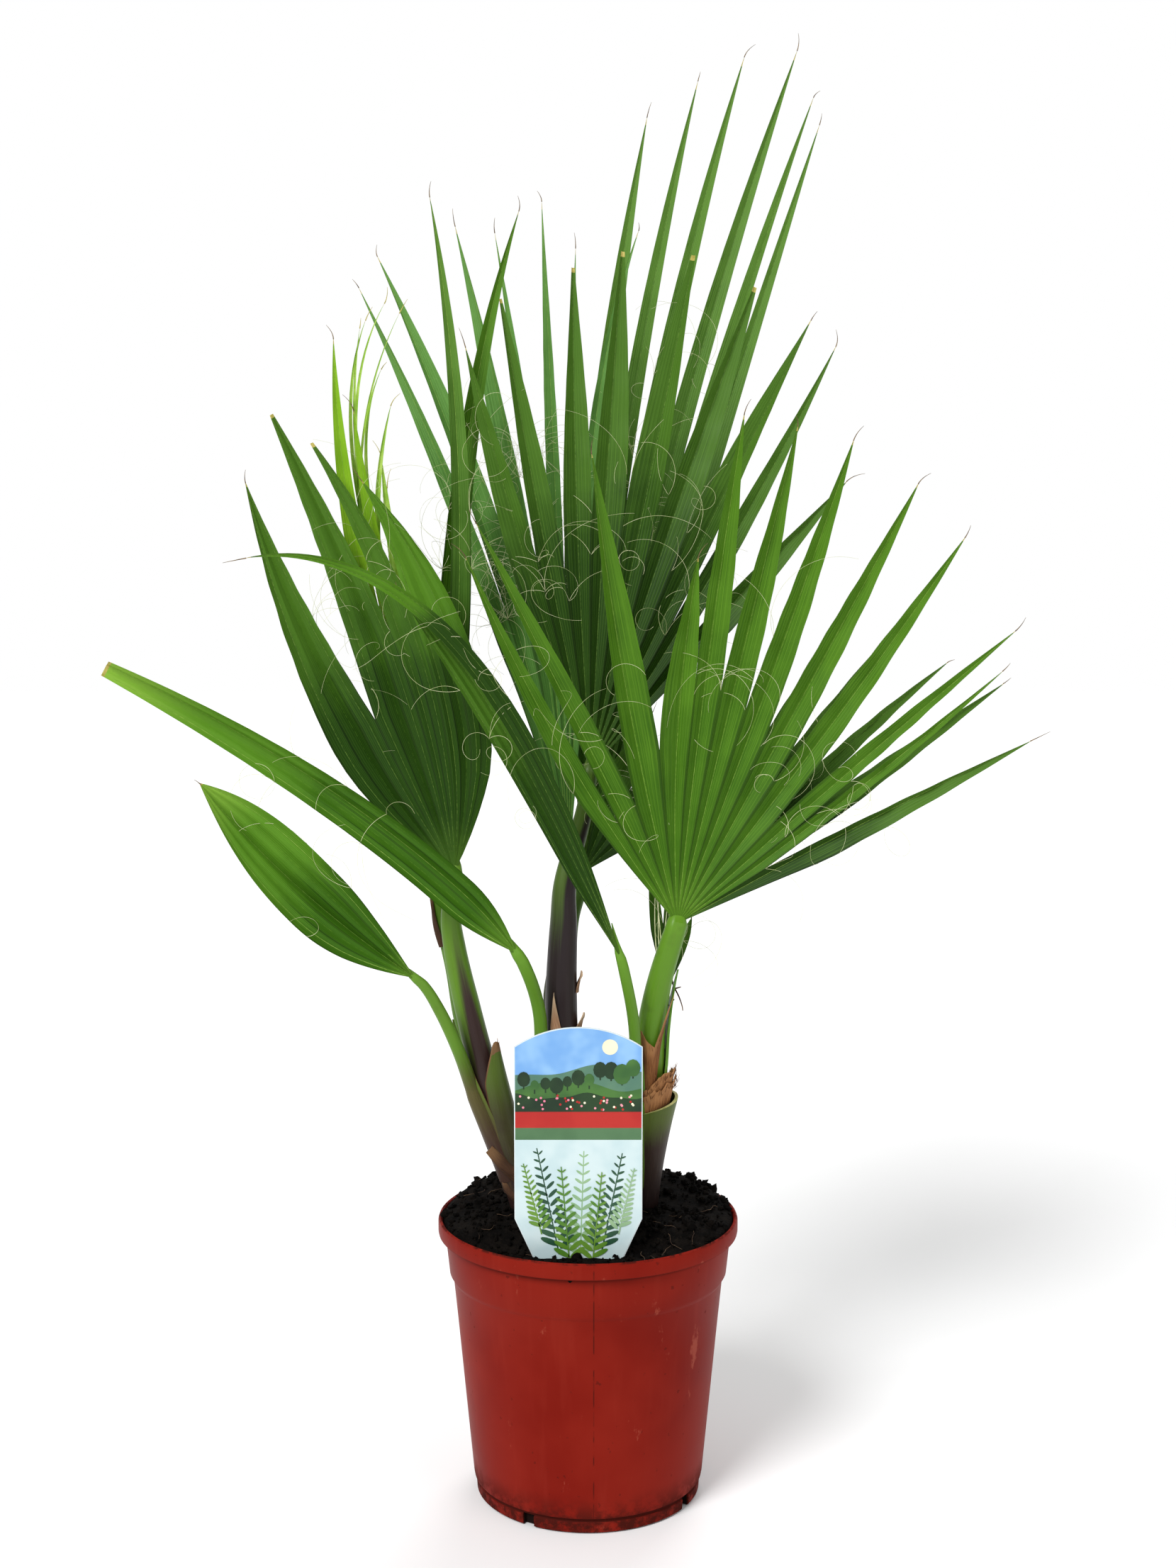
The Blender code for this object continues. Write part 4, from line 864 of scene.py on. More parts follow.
# %% The side stalks, each with a foot that spreads over its stem
Stalk = namedtuple("Stalk", "leaf heading stem bearing heights reaches further radii drop skin",
                   defaults=(STALK_SKIN,))
SIDE_STALKS = {     # `heights` and `reaches` are where it leaves its stem, and `drop` is the depth of its foot
    "left_simple": Stalk("leaf_left_simple", -45, "left", 217, (0.244, 0.25), (0.0032, 0.0034),
                         [(-0.076, -0.02, 0.275), (-0.0868, -0.0285, 0.302)], (0.0046, 0.0027), 0.05,
                         LOW_STALK_SKIN),
    "left_young": Stalk("frond_left_young", 6, "left", 120, (0.28, 0.287), (0.003, 0.0032),
                        [(-0.0812, 0.005, 0.3195), (-0.0845, 0.0065, 0.3335), (-0.088, 0.0085, 0.35),
                         (-0.0898, 0.01, 0.364)], (0.0044, 0.003), 0.06),
    "middle_blue": Stalk("frond_middle_blue", -1, "middle", 125, (0.296, 0.302), (0.0036, 0.0038),
                         [(-0.0165, 0.02, 0.335)], (0.0034, 0.0036), 0.06, BACK_STALK_SKIN),
    "middle_tall": Stalk("frond_middle_tall", 6, "middle", 84, (0.254, 0.262), (0.0042, 0.0044),
                         [(-0.011, 0.027, 0.315), (-0.0092, 0.04, 0.342)], (0.004, 0.0036), 0.06,
                         BACK_STALK_SKIN),
    "middle_strap": Stalk("leaf_middle_strap", -30, "middle", 205, (0.258, 0.264), (0.004, 0.0042),
                          [(-0.029, -0.013, 0.298)], (0.0042, 0.0036), 0.075),
    "right_strap": Stalk("leaf_right_strap", -14, "right", 236, (0.246, 0.252), (0.004, 0.0042),
                         [(0.027, -0.02, 0.29)], (0.0038, 0.003), 0.065),
    "right_young": Stalk("frond_right_young", 4, "right", 62, (0.262, 0.267), (0.0024, 0.0026),
                         [(0.045, 0.013, 0.285)], (0.0024, 0.0022), 0.06, BACK_STALK_SKIN),
}


def bearing_way(bearing):
    """The level direction at a bearing: 0 to the right, 90 to the back. Many bearings give many."""
    turn = np.radians(bearing)
    return np.stack((np.cos(turn), np.sin(turn), 0 * turn), axis=-1)


for number, (name, stalk) in enumerate(SIDE_STALKS.items()):
    leaf, stem, out = leaves[stalk.leaf], STEMS[stalk.stem], bearing_way(stalk.bearing)
    along = blade_heading(leaf, stalk.heading)
    end = leaf.hub - along * 2 * GAP
    start = [stem.beside(height, out, reach) for height, reach in zip(stalk.heights, stalk.reaches)]
    route = smooth_route([*start, *stalk.further, end - along * STRAIGHT_END, end], 7)
    shares = np.linspace(1.0, 0.12, 10)         # the foot sinks into the stem as it goes down
    below = stalk.heights[0] - stalk.drop * shares
    sunk = stem.radius(below) + stalk.radii[0] * (0.75 - 1.9 * shares)
    tail, tail_radii = tapered_tail(leaf, along, end, stalk.radii[1])
    bundle = Bundle()
    tube(bundle, np.concatenate((stem.axis(below) + out * sunk[:, None], route, tail)),
         np.concatenate((stalk.radii[0] * (1.0 + 0.7 * shares), np.linspace(*stalk.radii, len(route)), tail_radii)),
         sides=28, profile=ribbed(STALK_SEED + number, 0.016, 0.22))
    piece = bundle.piece("skin_stalk_" + name, [stalk.skin], "leaf_stalk", SKIN_SHARP, TUBE_MERGE)
    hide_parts("stalk_" + name)

# %% [markdown]
# ## Sheaths and dry husks
# Every leaf base wraps its stem as a curved sheet that narrows upwards. Fresh ones are green with a
# thin brown margin. Old ones were cut or have dried, and are brown, papery and frayed. Each is made
# by laying rows of points round the stem between two edges, whose bearings change with the height.

# %% Finishes of the sheaths
LEFT_SHEATH = stem_finish("left_sheath_skin", (0.04, 0.02, 0.012), (0.075, 0.06, 0.014), (0.1, 0.165, 0.016),
                          (0.05, 0.35, 0.85))
CUT_SHEATH = stem_finish("cut_sheath_skin", (0.026, 0.012, 0.01), (0.046, 0.044, 0.012), (0.075, 0.12, 0.014),
                         (0.02, 0.5, 0.85))
STUB_SHEATH = stem_finish("stub_sheath_skin", (0.015, 0.007, 0.006), (0.032, 0.016, 0.01), (0.078, 0.112, 0.014),
                          (0.05, 0.58, 0.92))
PALE_SHEATH = stem_finish("pale_sheath_skin", (0.1, 0.13, 0.03), (0.17, 0.27, 0.07), (0.12, 0.27, 0.03),
                          (0.05, 0.4, 0.9))


# %% Lay a sheath round a stem, or dry one to a scoop
def between(values, share):
    """The value at a share of the way through evenly spaced ones."""
    return np.interp(share, np.linspace(0, 1, len(values)), values)


def sheath(bundle, stem, foot, crest, left, right, flare, thickness, seed, flare_at=None, ragged=0.0,
           margins=(0.0, 0.0), tip_kind=None, rim_kind=None, columns=26, rows=34):
    """`crest` holds the top's heights from edge to edge; `left` and `right` the bearings from foot to top.

    `flare` is how far the top stands off, most at the bearing `flare_at`. Faces within `margins` (shares of the
    width) are kind 1, those near the crest `tip_kind`, and the top's rim `rim_kind`. The rim's points come back."""
    rng = np.random.default_rng(seed)
    torn = between(rng.uniform(0.0, ragged, 11), np.linspace(0, 1, columns + 1))
    torn = torn + rng.uniform(0.0, 0.4 * ragged, columns + 1)
    wave = rng.uniform(0, 2 * pi, 3)
    share, rise = np.meshgrid(np.linspace(0, 1, columns + 1), np.linspace(0, 1, rows + 1))
    height = foot + (between(crest, share) - torn - foot) * rise
    bearing = between(left, rise) + (between(right, rise) - between(left, rise)) * share
    lean = 1.0 if flare_at is None else 0.25 + 0.75 * np.maximum(0.0, np.cos(np.radians(bearing - flare_at)))
    ripple = 0.0005 * rise * np.sin(7 * share + wave[0]) * np.sin(4 * rise + wave[1])
    reach = stem.radius(height) * 1.012 + GAP + flare * lean * rise ** 1.8 + ripple
    thick = thickness * (0.3 + 0.7 * np.sin(pi * share) ** 0.6)
    front, behind = (stem.axis(height) + bearing_way(bearing) * stand_off[..., None]
                     for stand_off in (reach + thick, reach))
    cell = share[:-1, :-1] + 0.5 / columns
    kinds = ((cell < margins[0]) | (cell > 1 - margins[1])).astype(int)
    if tip_kind is not None:
        kinds[np.arange(rows) > 0.93 * rows] = tip_kind
    shell(bundle, front, behind, np.stack((0.25 + 0.5 * share, rise), axis=2), kinds, rim=rim_kind)
    return front[-1]


def scoop(bundle, points, radii, spread, thickness, up, kind=0, columns=14):
    """A dried leaf base: a trough along a route, open below, with a thin wall."""
    route = smooth_route(points, 8)
    above, beside = carried_frames(route, up)
    share, rise = np.meshgrid(np.linspace(0, 1, columns + 1), np.linspace(0, 1, len(route)))
    angle = np.radians(spread * (share - 0.5))
    out = above[:, None] * np.cos(angle)[..., None] + beside[:, None] * np.sin(angle)[..., None]
    width = between(radii, rise) * (1.0 + 0.1 * np.sin(3.1 * angle + 0.5 * np.arange(len(route))[:, None]))
    outer, inner = (route[:, None] + out * (width - wall)[..., None] for wall in (0.0, thickness))
    shell(bundle, outer, inner, np.stack((share, rise), axis=2), kind)


def fray(bundle, rng, rim, count, length, spread, heading, radius):
    """Short loose fibres along a torn rim."""
    for _ in range(count):
        start = rim[rng.integers(len(rim))] + rng.normal(size=3) * 0.0005
        lean = heading + spread * rng.normal(size=3)
        route = thread_route(rng, start - (0, 0, 0.003), lean, rng.uniform(0.5, 1.2) * length, rng.uniform(10, 70))
        tube(bundle, route, np.linspace(radius, 0.4 * radius, len(route)), sides=4)


def sheath_piece(bundle, name, finishes, slot="cut_sheath"):
    return bundle.piece(name, finishes, slot, SKIN_SHARP)


# %% The left stem's sheaths
fibres = Bundle()
rng = np.random.default_rng(FIBRE_SEED)
left, middle, right = STEMS.values()

bundle = Bundle()
sheath(bundle, left, 0.184, [0.262, 0.284, 0.292, 0.285, 0.268], [110, 130, 160, 188, 206],
       [292, 285, 268, 250, 232], 0.003, 0.0013, 61, flare_at=212, margins=(0.0, 0.05))
scoop(bundle, [(-0.085, 0.005, 0.333), (-0.09, 0.0066, 0.348), (-0.093, 0.008, 0.364)],
      (0.004, 0.0014), 140, 0.0006, (-1.0, -0.3, 0.2), kind=1)       # the young stalk's papery flap
sheath_piece(bundle, "left_outer_sheath", [LEFT_SHEATH, DARK_HUSK])

bundle = Bundle()
rim = sheath(bundle, left, 0.184, [0.2765, 0.279, 0.2745], [-122, -118, -114, -96, -36], [48, 42, 34, 18, -8],
             0.0042, 0.0018, 62, flare_at=-10, ragged=0.0012, margins=(0.05, 0.02), tip_kind=1)
fray(fibres, rng, rim[10:16], 5, 0.006, 0.1, (0.0, 0.0, 1.0), 0.0002)
piece = sheath_piece(bundle, "skin_sheath_left_cut", [CUT_SHEATH, DARK_HUSK])
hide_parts("sheath_left_cut")

bundle = Bundle()
scoop(bundle, [(-0.0375, -0.006, 0.193), (-0.047, -0.01, 0.1995), (-0.0592, -0.0112, 0.213)],
      (0.0062, 0.003), 215, 0.0009, (-0.4, -0.5, 0.8))
scoop(bundle, [(-0.0375, -0.004, 0.179), (-0.045, -0.006, 0.185), (-0.05, -0.006, 0.195)],
      (0.0062, 0.0026), 180, 0.0009, (-0.5, -0.5, 0.6))
piece = sheath_piece(bundle, "skin_husk_left_foot", [DARK_HUSK], "dry_husk")
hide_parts("husk_left_foot")

# %% The middle stem's sheaths
bundle = Bundle()
sheath(bundle, middle, 0.184, [0.262, 0.276, 0.28, 0.272, 0.262], [140, 155, 172, 190, 200],
       [286, 280, 262, 244, 224], 0.0008, 0.0013, 63, margins=(0.0, 0.1))
sheath_piece(bundle, "middle_outer_sheath", [STALK_SKIN, PAPERY])

bundle = Bundle()
sheath(bundle, middle, 0.262, [0.3, 0.3085, 0.301], [246, 240, 233, 244], [304, 292, 268, 254],
       0.0016, 0.0007, 64, ragged=0.0012)
sheath(bundle, middle, 0.306, [0.316, 0.3195, 0.3165], [-24, -20, -14], [30, 24, 14], 0.0024, 0.0008, 65,
       ragged=0.0008, columns=10, rows=12)
sheath(bundle, middle, 0.276, [0.292, 0.295, 0.29], [-50, -44, -34], [24, 22, 18], 0.0034, 0.0009, 66,
       ragged=0.0012, columns=12, rows=12)
piece = sheath_piece(bundle, "skin_husk_middle", [PAPERY], "dry_husk")
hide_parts("husk_middle")

# %% The right stem's sheaths
bundle = Bundle()
sheath(bundle, right, 0.215, [0.262, 0.3, 0.322, 0.316, 0.296], [-70, -62, -50, -34, -20], [96, 90, 78, 56, 38],
       0.0016, 0.0011, 67)
sheath(bundle, right, 0.2, [0.262, 0.272, 0.266], [150, 165, 195, 215], [268, 264, 258, 246], 0.001, 0.0012, 68)
sheath_piece(bundle, "right_outer_sheaths", [PALE_SHEATH])

bundle = Bundle()
rim = sheath(bundle, right, 0.24, [0.288, 0.285, 0.279, 0.277, 0.286, 0.298, 0.309],
             [-104, -110, -120, -132], [-72, -60, -46, -26], 0.0026, 0.0007, 69, ragged=0.0016)
fray(fibres, rng, rim, 12, 0.005, 0.2, (0.0, -0.1, 1.0), 0.00014)
piece = sheath_piece(bundle, "skin_husk_right", [RUSTY], "dry_husk")
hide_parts("husk_right")

bundle = Bundle()
sheath(bundle, right, 0.174, [0.231, 0.2345, 0.239, 0.243, 0.244], [-165, -160, -155, -150], [70, 72, 72, 66],
       0.0066, 0.0021, 70, flare_at=-12, rim_kind=2, columns=40)
for crest_drop, pull, seed in ((0.0, 0.0052, 71), (0.006, 0.0064, 72)):
    rim = sheath(bundle, right, 0.205, [height - crest_drop for height in (0.248, 0.255, 0.261, 0.263, 0.256)],
                 [-150, -140, -130], [50, 46, 40], pull, 0.0008, seed, flare_at=-12, ragged=0.005,
                 margins=(1.0, 0.0))
    fray(fibres, rng, rim, 70, 0.006, 0.28, (0.05, -0.1, 1.0), 0.00015)
piece = sheath_piece(bundle, "skin_sheath_right_cut", [STUB_SHEATH, RUSTY, CUT_FACE])
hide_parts("sheath_right_cut")

# %% Loose dry bits: a withered shoot on the right and pale fibres behind its stalk
for start, heading, length in (((0.0495, -0.002, 0.315), (0.1, 0.0, -1.0), 0.022),
                               ((0.05, -0.002, 0.308), (0.8, 0.0, 0.1), 0.006),
                               ((0.051, -0.002, 0.302), (-0.5, 0.0, -0.8), 0.007)):
    route = thread_route(rng, start, heading, length, 40, drift=0.5)
    tube(fibres, route, np.linspace(0.0007, 0.0003, len(route)), sides=6, kind=1)
for step in range(7):
    foot = (0.0415 + 0.0012 * step, 0.004, 0.322 + 0.003 * (step % 3))
    route = thread_route(rng, foot, (-0.12 + 0.04 * step, 0.0, 1.0), 0.045, 4)
    tube(fibres, route, np.linspace(0.00035, 0.0002, len(route)), sides=4, kind=2)
fibres.piece("husk_fibres", [RUSTY, DARK_HUSK, THREAD], "dry_husk")

# %% [markdown]
# ## Soil
# The pot is filled with dark, damp peat that is heaped a little above the rim. A lathe-like shape
# comes first: a disc whose edge is extruded and scaled ring by ring, as it would be by hand. Two
# rounds of cloud displacement roughen its top, and loose crumbs and root fibres lie on it.


# %% Turn a shape by extruding a circle's edge from ring to ring
def pick(thing=None):
    """Deselect everything, and then make one object the active and only selected one."""
    if bpy.context.object and bpy.context.object.mode != "OBJECT":
        bpy.ops.object.mode_set(mode="OBJECT")
    bpy.ops.object.select_all(action="DESELECT")
    if thing:
        bpy.context.view_layer.objects.active = thing
        thing.select_set(True)


def modify(thing, kind, **settings):
    """Add a modifier to a picked object, and apply it."""
    pick(thing)
    modifier = thing.modifiers.new(kind.lower(), kind)
    for key, value in settings.items():
        setattr(modifier, key, value)
    bpy.ops.object.modifier_apply(modifier=modifier.name)


def turned(name, rings, sides):
    """A closed shape of revolution. `rings` are (radius, height) from its lower to its upper centre."""
    pick()
    radius, height = rings[0]
    bpy.ops.mesh.primitive_circle_add(vertices=sides, radius=radius, fill_type="TRIFAN",
                                      location=(0, 0, height))
    thing = bpy.context.object
    thing.name = name
    bpy.ops.object.transform_apply(location=True, rotation=True, scale=True)
    bpy.ops.object.mode_set(mode="EDIT")
    bpy.ops.mesh.select_mode(type="EDGE")
    bpy.ops.mesh.select_all(action="SELECT")
    bpy.ops.mesh.region_to_loop()
    for following, rise in rings[1:]:
        bpy.ops.mesh.extrude_edges_move(TRANSFORM_OT_translate={"value": (0, 0, rise - height)})
        bpy.ops.transform.resize(value=(following / radius, following / radius, 1),
                                 center_override=(0, 0, rise))
        radius, height = following, rise
    bpy.ops.mesh.edge_face_add()
    bpy.ops.mesh.poke()
    bpy.ops.mesh.select_all(action="SELECT")
    bpy.ops.mesh.normals_make_consistent(inside=False)
    bpy.ops.object.mode_set(mode="OBJECT")
    return thing


# %% The heap of soil
SOIL_EDGE, SOIL_RADIUS = 0.169, 0.0873
SOIL_SLOPE = ((0.06, 0.076, 0.083, SOIL_RADIUS), (SOIL_TOP, 0.1745, 0.1725, SOIL_EDGE))   # radii and heights
BACK_HEAP = 0.006          # how much higher the soil lies towards the back
FRONT_DIP = 0.0095          # and how much lower it lies towards the front


def tilt_of_heap(y, outer):
    """The soil's extra height behind the stems, which fades at the rim, and its dip in front."""
    lift = BACK_HEAP * min(1.0, max(0.0, (y + 0.005) / 0.045)) * max(0.0, 1 - (outer / SOIL_RADIUS) ** 10)
    dip = min(1.0, max(0.0, (-y - 0.036) / 0.026))
    return lift - FRONT_DIP * dip * dip * (3 - 2 * dip)


def soil_height(outer, y):
    return float(np.interp(outer, *SOIL_SLOPE)) + tilt_of_heap(y, outer)


skin = Finish("damp_peat", (0.002, 0.0017, 0.0015), 0.92, gloss=0.05)
coarse, fine = skin.noise(130, 6, 0.7), skin.noise(620)
skin.paint(coarse.mask(0.38, 0.66), (0.0072, 0.0054, 0.0042))
skin.paint(fine.mask(0.62, 0.72) * 0.3, (0.034, 0.023, 0.014))
PEAT = skin.done(coarse + fine, 0.0012, 0.9)

heap_rings = [(0.06, 0.0032), (0.066, 0.014), (0.07, 0.05), (0.078, 0.13), (0.0826, 0.1565),
              (0.0864, 0.1625), (0.0872, 0.166)]
for share in np.linspace(0.012, 0.97, 30):
    radius = SOIL_RADIUS * (1 - share)
    heap_rings.append((radius, float(np.interp(radius, *SOIL_SLOPE))))
soil = turned("peat_heap", heap_rings, 180)
soil.data.materials.append(PEAT)
rough_part = soil.vertex_groups.new(name="top")
for vertex in soil.data.vertices:
    outer = hypot(vertex.co.x, vertex.co.y)
    if vertex.co.z > SOIL_EDGE - 0.0005:
        rough_part.add([vertex.index], min(1.0, (SOIL_RADIUS - outer) / 0.005), "REPLACE")
        vertex.co.z += tilt_of_heap(vertex.co.y, outer)
for grain, depth in ((0.012, 0.003), (0.0035, 0.0022)):
    lumps = bpy.data.textures.new("peat_lumps", "CLOUDS")
    lumps.noise_scale, lumps.noise_depth = grain, 2
    modify(soil, "DISPLACE", texture=lumps, texture_coords="LOCAL", direction="Z", mid_level=0.62,
           strength=depth, vertex_group="top")
bpy.ops.object.shade_smooth()
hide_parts("soil")
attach(soil, "root")
print("soil top:", round(max(vertex.co.z for vertex in soil.data.vertices), 4))


# %% Crumbs of peat and a few root fibres
def spot_on_soil(rng, margin, lift):
    """A random place on the soil, at least `margin` inside its edge and `lift` above it."""
    outer = (SOIL_RADIUS - margin) * sqrt(rng.uniform(0.0, 1.0))
    bearing = rng.uniform(0, 2 * pi)
    x, y = outer * cos(bearing), outer * sin(bearing)
    return np.array((x, y, soil_height(outer, y) + lift))


pick()
bpy.ops.mesh.primitive_ico_sphere_add(subdivisions=2, radius=1.0, location=(0, 0, 0))
pebble = bpy.context.object
pebble_points = np.array([vertex.co[:] for vertex in pebble.data.vertices])
pebble_faces = [tuple(face.vertices) for face in pebble.data.polygons]
bpy.data.objects.remove(pebble)

CRUMBS, ROOT_FIBRES = 1300, 45
SMALLEST, MEAN_GROWTH, LARGEST = 0.0005, 0.00055, 0.003       # a crumb's radius
ROOT_RADIUS, ROOT_STEP = 0.00018, 0.0016
rng = np.random.default_rng(PEAT_SEED)
crumbs = Bundle()
for _ in range(CRUMBS):
    centre = spot_on_soil(rng, 0.0015, 0.0)
    size = min(LARGEST, SMALLEST + rng.exponential(MEAN_GROWTH))
    lumpy = pebble_points * (1 + 0.28 * rng.normal(size=(len(pebble_points), 1)))
    lumpy = lumpy * rng.uniform(0.6, 1.3, 3) * size
    turn = np.linalg.qr(rng.normal(size=(3, 3)))[0]
    crumbs.add(lumpy @ turn + centre + (0, 0, 0.1 * size), pebble_faces)
crumbs.piece("peat_crumbs", [PEAT], "potting_soil")

root_skin = plain_finish("root_fibre", (0.035, 0.018, 0.01), (0.1, 0.06, 0.032), 200, 0.8)
roots = Bundle()
for _ in range(ROOT_FIBRES):
    route = [spot_on_soil(rng, 0.008, 0.0006)]
    heading = np.array((rng.normal(), rng.normal(), 0.0))
    for _ in range(int(rng.uniform(4, 12))):
        heading = unit(unit(heading) + 0.35 * np.array((rng.normal(), rng.normal(), 0.0)))
        ahead = route[-1] + ROOT_STEP * heading
        reach = hypot(ahead[0], ahead[1])
        if reach > SOIL_RADIUS - 0.006:
            break
        ahead[2] = soil_height(reach, ahead[1]) + 0.0008 + 0.0004 * rng.uniform()
        route.append(ahead)
    if len(route) > 3:
        tube(roots, route, np.full(len(route), ROOT_RADIUS), sides=4)
roots.piece("root_fibres", [root_skin], "potting_soil")

# %% [markdown]
# ## Pot
# The pot is a thin moulded shell: a tapering wall, a stepped collar, a rounded rim and a foot ring
# with drain slots. The same turning tool makes it, with rings that round its edges, and a Boolean
# cuts the slots. Its red-brown plastic is satin, with a mould seam down the front, pale scuffs and
# some dirt. Painted shade darkens it under the rim, in the foot's groove and inside the slots.

# %% The pot's shell
POT_HEIGHT = 0.17
RIM_RADIUS, RIM_DEPTH = 0.09, 0.01
COLLAR_RADIUS, COLLAR_DEPTH = 0.0855, 0.0345
WALL_TOP_RADIUS, WALL_FOOT_RADIUS, WALL_FOOT_HEIGHT = 0.081, 0.0695, 0.0115
FOOT_RADIUS = 0.065
WALL, FLOOR = 0.002, 0.0025
LIP, STEP = POT_HEIGHT - RIM_DEPTH, POT_HEIGHT - COLLAR_DEPTH
DRAIN_SLOTS, DRAIN_TURN = 4, -31
SLOT_SIZE = (0.0075, 0.007, 0.0086)

pot_rings = [(base + out, height) for base, rings in (      # each ring is a step out from one of the radii
    (FOOT_RADIUS, [(0.0018, 0.0), (0.0026, 0.0006), (0.003, 0.0062), (0.0022, 0.0072), (0.0022, 0.0082)]),
    (WALL_FOOT_RADIUS, [(-0.0004, 0.0094), (0.0, WALL_FOOT_HEIGHT), (0.0029, 0.042), (0.0058, 0.073),
                        (0.0087, 0.104)]),
    (WALL_TOP_RADIUS, [(0.0, STEP - 0.003), (0.0008, STEP - 0.0016)]),
    (COLLAR_RADIUS, [(-0.0022, STEP + 0.001), (0.0, LIP - 0.003), (0.0002, LIP - 0.0004)]),
    (RIM_RADIUS, [(-0.0014, LIP), (-0.0003, LIP + 0.0006), (0.0, LIP + 0.002), (0.0, POT_HEIGHT - 0.0022),
                  (-0.0005, POT_HEIGHT - 0.0007), (-0.0014, POT_HEIGHT), (-0.0022, POT_HEIGHT - 0.0006),
                  (-0.0026, POT_HEIGHT - 0.002), (-0.0028, LIP + 0.0018)]),
    (COLLAR_RADIUS - WALL, [(0.001, LIP - 0.0006), (0.0, LIP - 0.003), (-0.0022, STEP + 0.001)]),
    (WALL_TOP_RADIUS - WALL, [(0.0, STEP - 0.003)]),
    (WALL_FOOT_RADIUS - WALL, [(0.0, WALL_FOOT_HEIGHT)]),
    (FOOT_RADIUS - WALL, [(0.0, FLOOR + 0.004), (-0.004, FLOOR)])) for out, height in rings]
pot = turned("moulded_pot", pot_rings, 144)
for slot in range(DRAIN_SLOTS):
    bearing = radians(DRAIN_TURN + slot * 360 / DRAIN_SLOTS)
    ring = FOOT_RADIUS + 0.0025
    pick()
    bpy.ops.mesh.primitive_cube_add(size=1, location=(ring * sin(bearing), -ring * cos(bearing), 0.003),
                                    rotation=(0, 0, bearing), scale=SLOT_SIZE)
    cutter = bpy.context.object
    modify(pot, "BOOLEAN", object=cutter, solver="EXACT")
    bpy.data.objects.remove(cutter)
bpy.ops.object.shade_smooth_by_angle(angle=radians(32))
print("pot has", len(pot.data.polygons), "faces")

# %% Satin red-brown plastic
POT_SEAM_X = 0.0033
skin = Finish("terracotta_plastic", (0.172, 0.0075, 0.0035), gloss=0.04)
x, y, z = skin.split(skin.place())
cloud, grime = skin.noise(14), skin.noise(95, 5, 0.7)
skin.paint(cloud.mask(0.32, 0.68), (0.214, 0.0125, 0.0062))
skin.paint(skin.noise(110, stretch=(1, 1, 0.08)).mask(0.5, 0.72) * 0.14, (0.28, 0.028, 0.016))
skin.paint(skin.noise(58, 6, 0.72, stretch=(1, 1, 0.45)).mask(0.63, 0.7) * 0.42, (0.42, 0.1, 0.06))   # scuffs
low = z.mask(0.026, 0.004) * grime.mask(0.34, 0.58)
# Painted shade: a dark band under the rim's overhang.
under_rim_shade = z.mask(LIP - 0.003, LIP - 0.0004) * z.mask(LIP + 0.0012, LIP)
dusty = z.mask(POT_HEIGHT - 0.0015, POT_HEIGHT - 0.0002) * grime.mask(0.45, 0.6)
# Painted shade: a dark band in the foot's groove.
groove = z.mask(0.006, 0.007) * z.mask(0.0096, 0.0088)
specks = skin.noise(240, 2).mask(0.7, 0.74) * 0.5
worn = skin.noise(42, 2, stretch=(1, 1, 2.4)).mask(0.4, 0.56)
seam = abs(x - POT_SEAM_X).mask(0.00055, 0.0001) * y.mask(-0.02, -0.04) * worn
# Real dirt at the foot, dust on the rim, specks and the worn seam, together with painted shade under the rim and in
# the foot's groove.
dirt_and_shade = low.most(under_rim_shade * 0.75).most(dusty).most(groove).most(specks).most(seam * 0.8)
skin.paint(dirt_and_shade * 0.85, (0.03, 0.006, 0.004))
outer = skin.math("SQRT", x * x + y * y)
# Painted shade inside the drain slots.
skin.paint(outer.mask(0.067, 0.0664) * z.mask(0.009, 0.008), (0.01, 0.005, 0.004))      # inside the slots
pot.data.materials.append(skin.done(grime * 0.2 - seam, 0.0002, 0.35, rough=cloud * 0.14 + 0.36 + dirt_and_shade * 0.35))
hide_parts("pot")
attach(pot, "root")

# %% [markdown]
# ## Plant label
# A glossy card tag stands in the soil in front of the stems. It has an arched top and a tapering
# foot. Its print is a generic one: a landscape over two stripes, and a pale panel with leaf sprigs.
# Each printed shape is a very thin slab, so that it keeps a crisp edge at any distance.

# %% The card
LABEL_WIDTH, LABEL_THICKNESS = 0.073, 0.0012
LABEL_TOP, LABEL_SHOULDER, LABEL_WAIST = 0.3, 0.2885, 0.188
LABEL_FOOT, LABEL_FOOT_WIDTH = 0.13, 0.02
LABEL_PLACE = (-0.0055, -0.064)
PRINT_FRONT = LABEL_PLACE[1] - LABEL_THICKNESS / 2
HALF, HALF_FOOT = LABEL_WIDTH / 2, LABEL_FOOT_WIDTH / 2


def arch(inset, steps=28):
    """Points of the label's curved top, from its right shoulder to its left one."""
    rise = LABEL_TOP - LABEL_SHOULDER
    radius = (HALF ** 2 + rise ** 2) / (2 * rise)
    xs = [(HALF - inset) * cos(pi * step / steps) for step in range(steps + 1)]
    return [(x, LABEL_TOP - radius + sqrt(radius ** 2 - x ** 2) - inset) for x in xs]


def slab(bundle, outline, layer, thickness, kind):
    """A flat shape with a little thickness, lying `layer` in front of the card's face."""
    back, count = PRINT_FRONT - layer, len(outline)
    points = [(LABEL_PLACE[0] + x, y, z) for y in (back - thickness, back) for x, z in outline]
    faces = [tuple(range(count)), tuple(range(2 * count - 1, count - 1, -1))]
    faces += [(side, side + count, (side + 1) % count + count, (side + 1) % count) for side in range(count)]
    bundle.add(points, faces, None, kind)


def card_finish(name, colour, shade):
    skin = Finish(name, colour, 0.32, coat=0.1)
    skin.paint(skin.noise(55, 2).mask(0.35, 0.65), shade)
    return skin.done(skin.noise(900, 2), 0.00005, 0.15)


